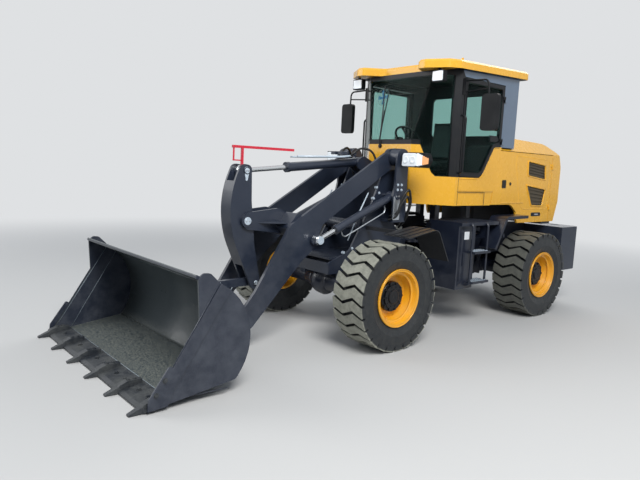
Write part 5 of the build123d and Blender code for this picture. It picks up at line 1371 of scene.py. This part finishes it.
@dataclass
class IndicatorPost:
    """The second upright of the red level indicator."""

    def build(self) -> None:
        """Add the upright with its foot."""
        mesh = bmesh.new()
        add_plate(mesh, Facing.X, rectangle(-1872, -1858, 1780, 1902, 3), -5, 5, 1)
        add_plate(mesh, Facing.X, rectangle(-1874, -1764, 1778, 1790, 3), -4, 4, 1)
        place("indicator_post", mesh, RED, "tilt_rod")


@dataclass
class SeatPads:
    """The driver's seat: two foam pads in sewn vinyl on a boxed pedestal."""

    cap: float = 0.014
    pressure: float = 4.0
    voxel: float = 0.008
    frames: int = 15
    # name, side view in millimetres, half the width and how tight it is filled
    pads: tuple = (
        ("seat_cushion", ((908, 1792), (900, 1880), (1290, 1888), (1300, 1792)), 226.0, 0.7),
        ("seat_back", ((1284, 1905), (1340, 2405), (1398, 2405), (1372, 1905)), 214.0, 0.6),
    )

    def build(self) -> None:
        """Add the pads and the pedestal in place of the CAD seat."""
        for name, outline, half, fill in self.pads:
            item = self.pad(name, outline, half)
            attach(item, REAR)
            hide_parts("seat")
            log.info("padded %s on %s: %d faces", name, REAR, len(item.data.polygons))
        mesh = bmesh.new()
        legs = [(965, 1410), (985, 1760), (1265, 1760), (1285, 1410)]
        spine = [(1300, 1780), (1322, 1780), (1400, 2300), (1384, 2300)]
        add_plate(mesh, Facing.X, rounded(legs, 20), -190, 190, 4)
        add_plate(mesh, Facing.X, rectangle(900, 1310, 1758, 1786, 10), -225, 225, 4)
        add_plate(mesh, Facing.X, rounded(spine, 8), -60, 60, 3)
        place("seat_pedestal", mesh, BLACK, REAR)

    def pad(self, name: str, outline: Outline, half: float) -> Item:
        """Make one pad, blown up as cloth from a smaller block.

        Args:
            name: The pad's name.
            outline: Its side view in millimetres.
            half: Half its width in millimetres.

        Returns:
            The pad, crowned, with its sides pulled in between its corners.
        """
        mesh = bmesh.new()
        add_plate(mesh, Facing.X, rounded(outline, 26), -half, half, 14)
        item = poured(name, mesh)
        remesh = item.modifiers.new("remesh", "REMESH")
        remesh.mode, remesh.voxel_size = "VOXEL", self.voxel
        settle(item)
        self.inflate(item)
        soften = item.modifiers.new("soften", "SUBSURF")
        soften.levels = soften.render_levels = 1
        settle(item)
        for face in item.data.polygons:
            face.use_smooth = True
        item.data.materials.clear()
        item.data.materials.append(material_of(VINYL))
        return item

    def inflate(self, item: Item) -> None:
        """Blow a pad up with cloth pressure and hold each point within the cap.

        Args:
            item: The remeshed pad.
        """
        start = [v.co.copy() for v in item.data.vertices]
        settings = item.modifiers.new("cloth", "CLOTH").settings
        settings.use_pressure = True
        settings.uniform_pressure_force = self.pressure
        settings.effector_weights.gravity = 0.0
        settings.quality = 4
        scene = bpy.context.scene
        for number in range(1, self.frames + 1):
            scene.frame_set(number)
        settle(item)
        scene.frame_set(1)
        for vertex, was in zip(item.data.vertices, start):
            move = vertex.co - was
            if move.length > self.cap:
                vertex.co = was + move * (self.cap / move.length)


def main() -> None:
    """Build the studio and dress the machine."""
    logging.basicConfig(level=logging.INFO)
    axles = (("front", -640.0, 0.95), ("rear", 2060.0, 0.34))
    wheels = [Wheel(side, *axle) for side in Side for axle in axles]
    loader = (PinDressing(), BucketDressing(), TowerDressing(), IndicatorPost())
    upper = (CabDressing(), HoodDressing(), StepDressing(), SeatPads())
    for part in (Studio(), Bodywork(), *wheels, *loader, *upper):
        part.build()
        log.info("built %s", type(part).__name__)


if __name__ == "__main__":
    main()
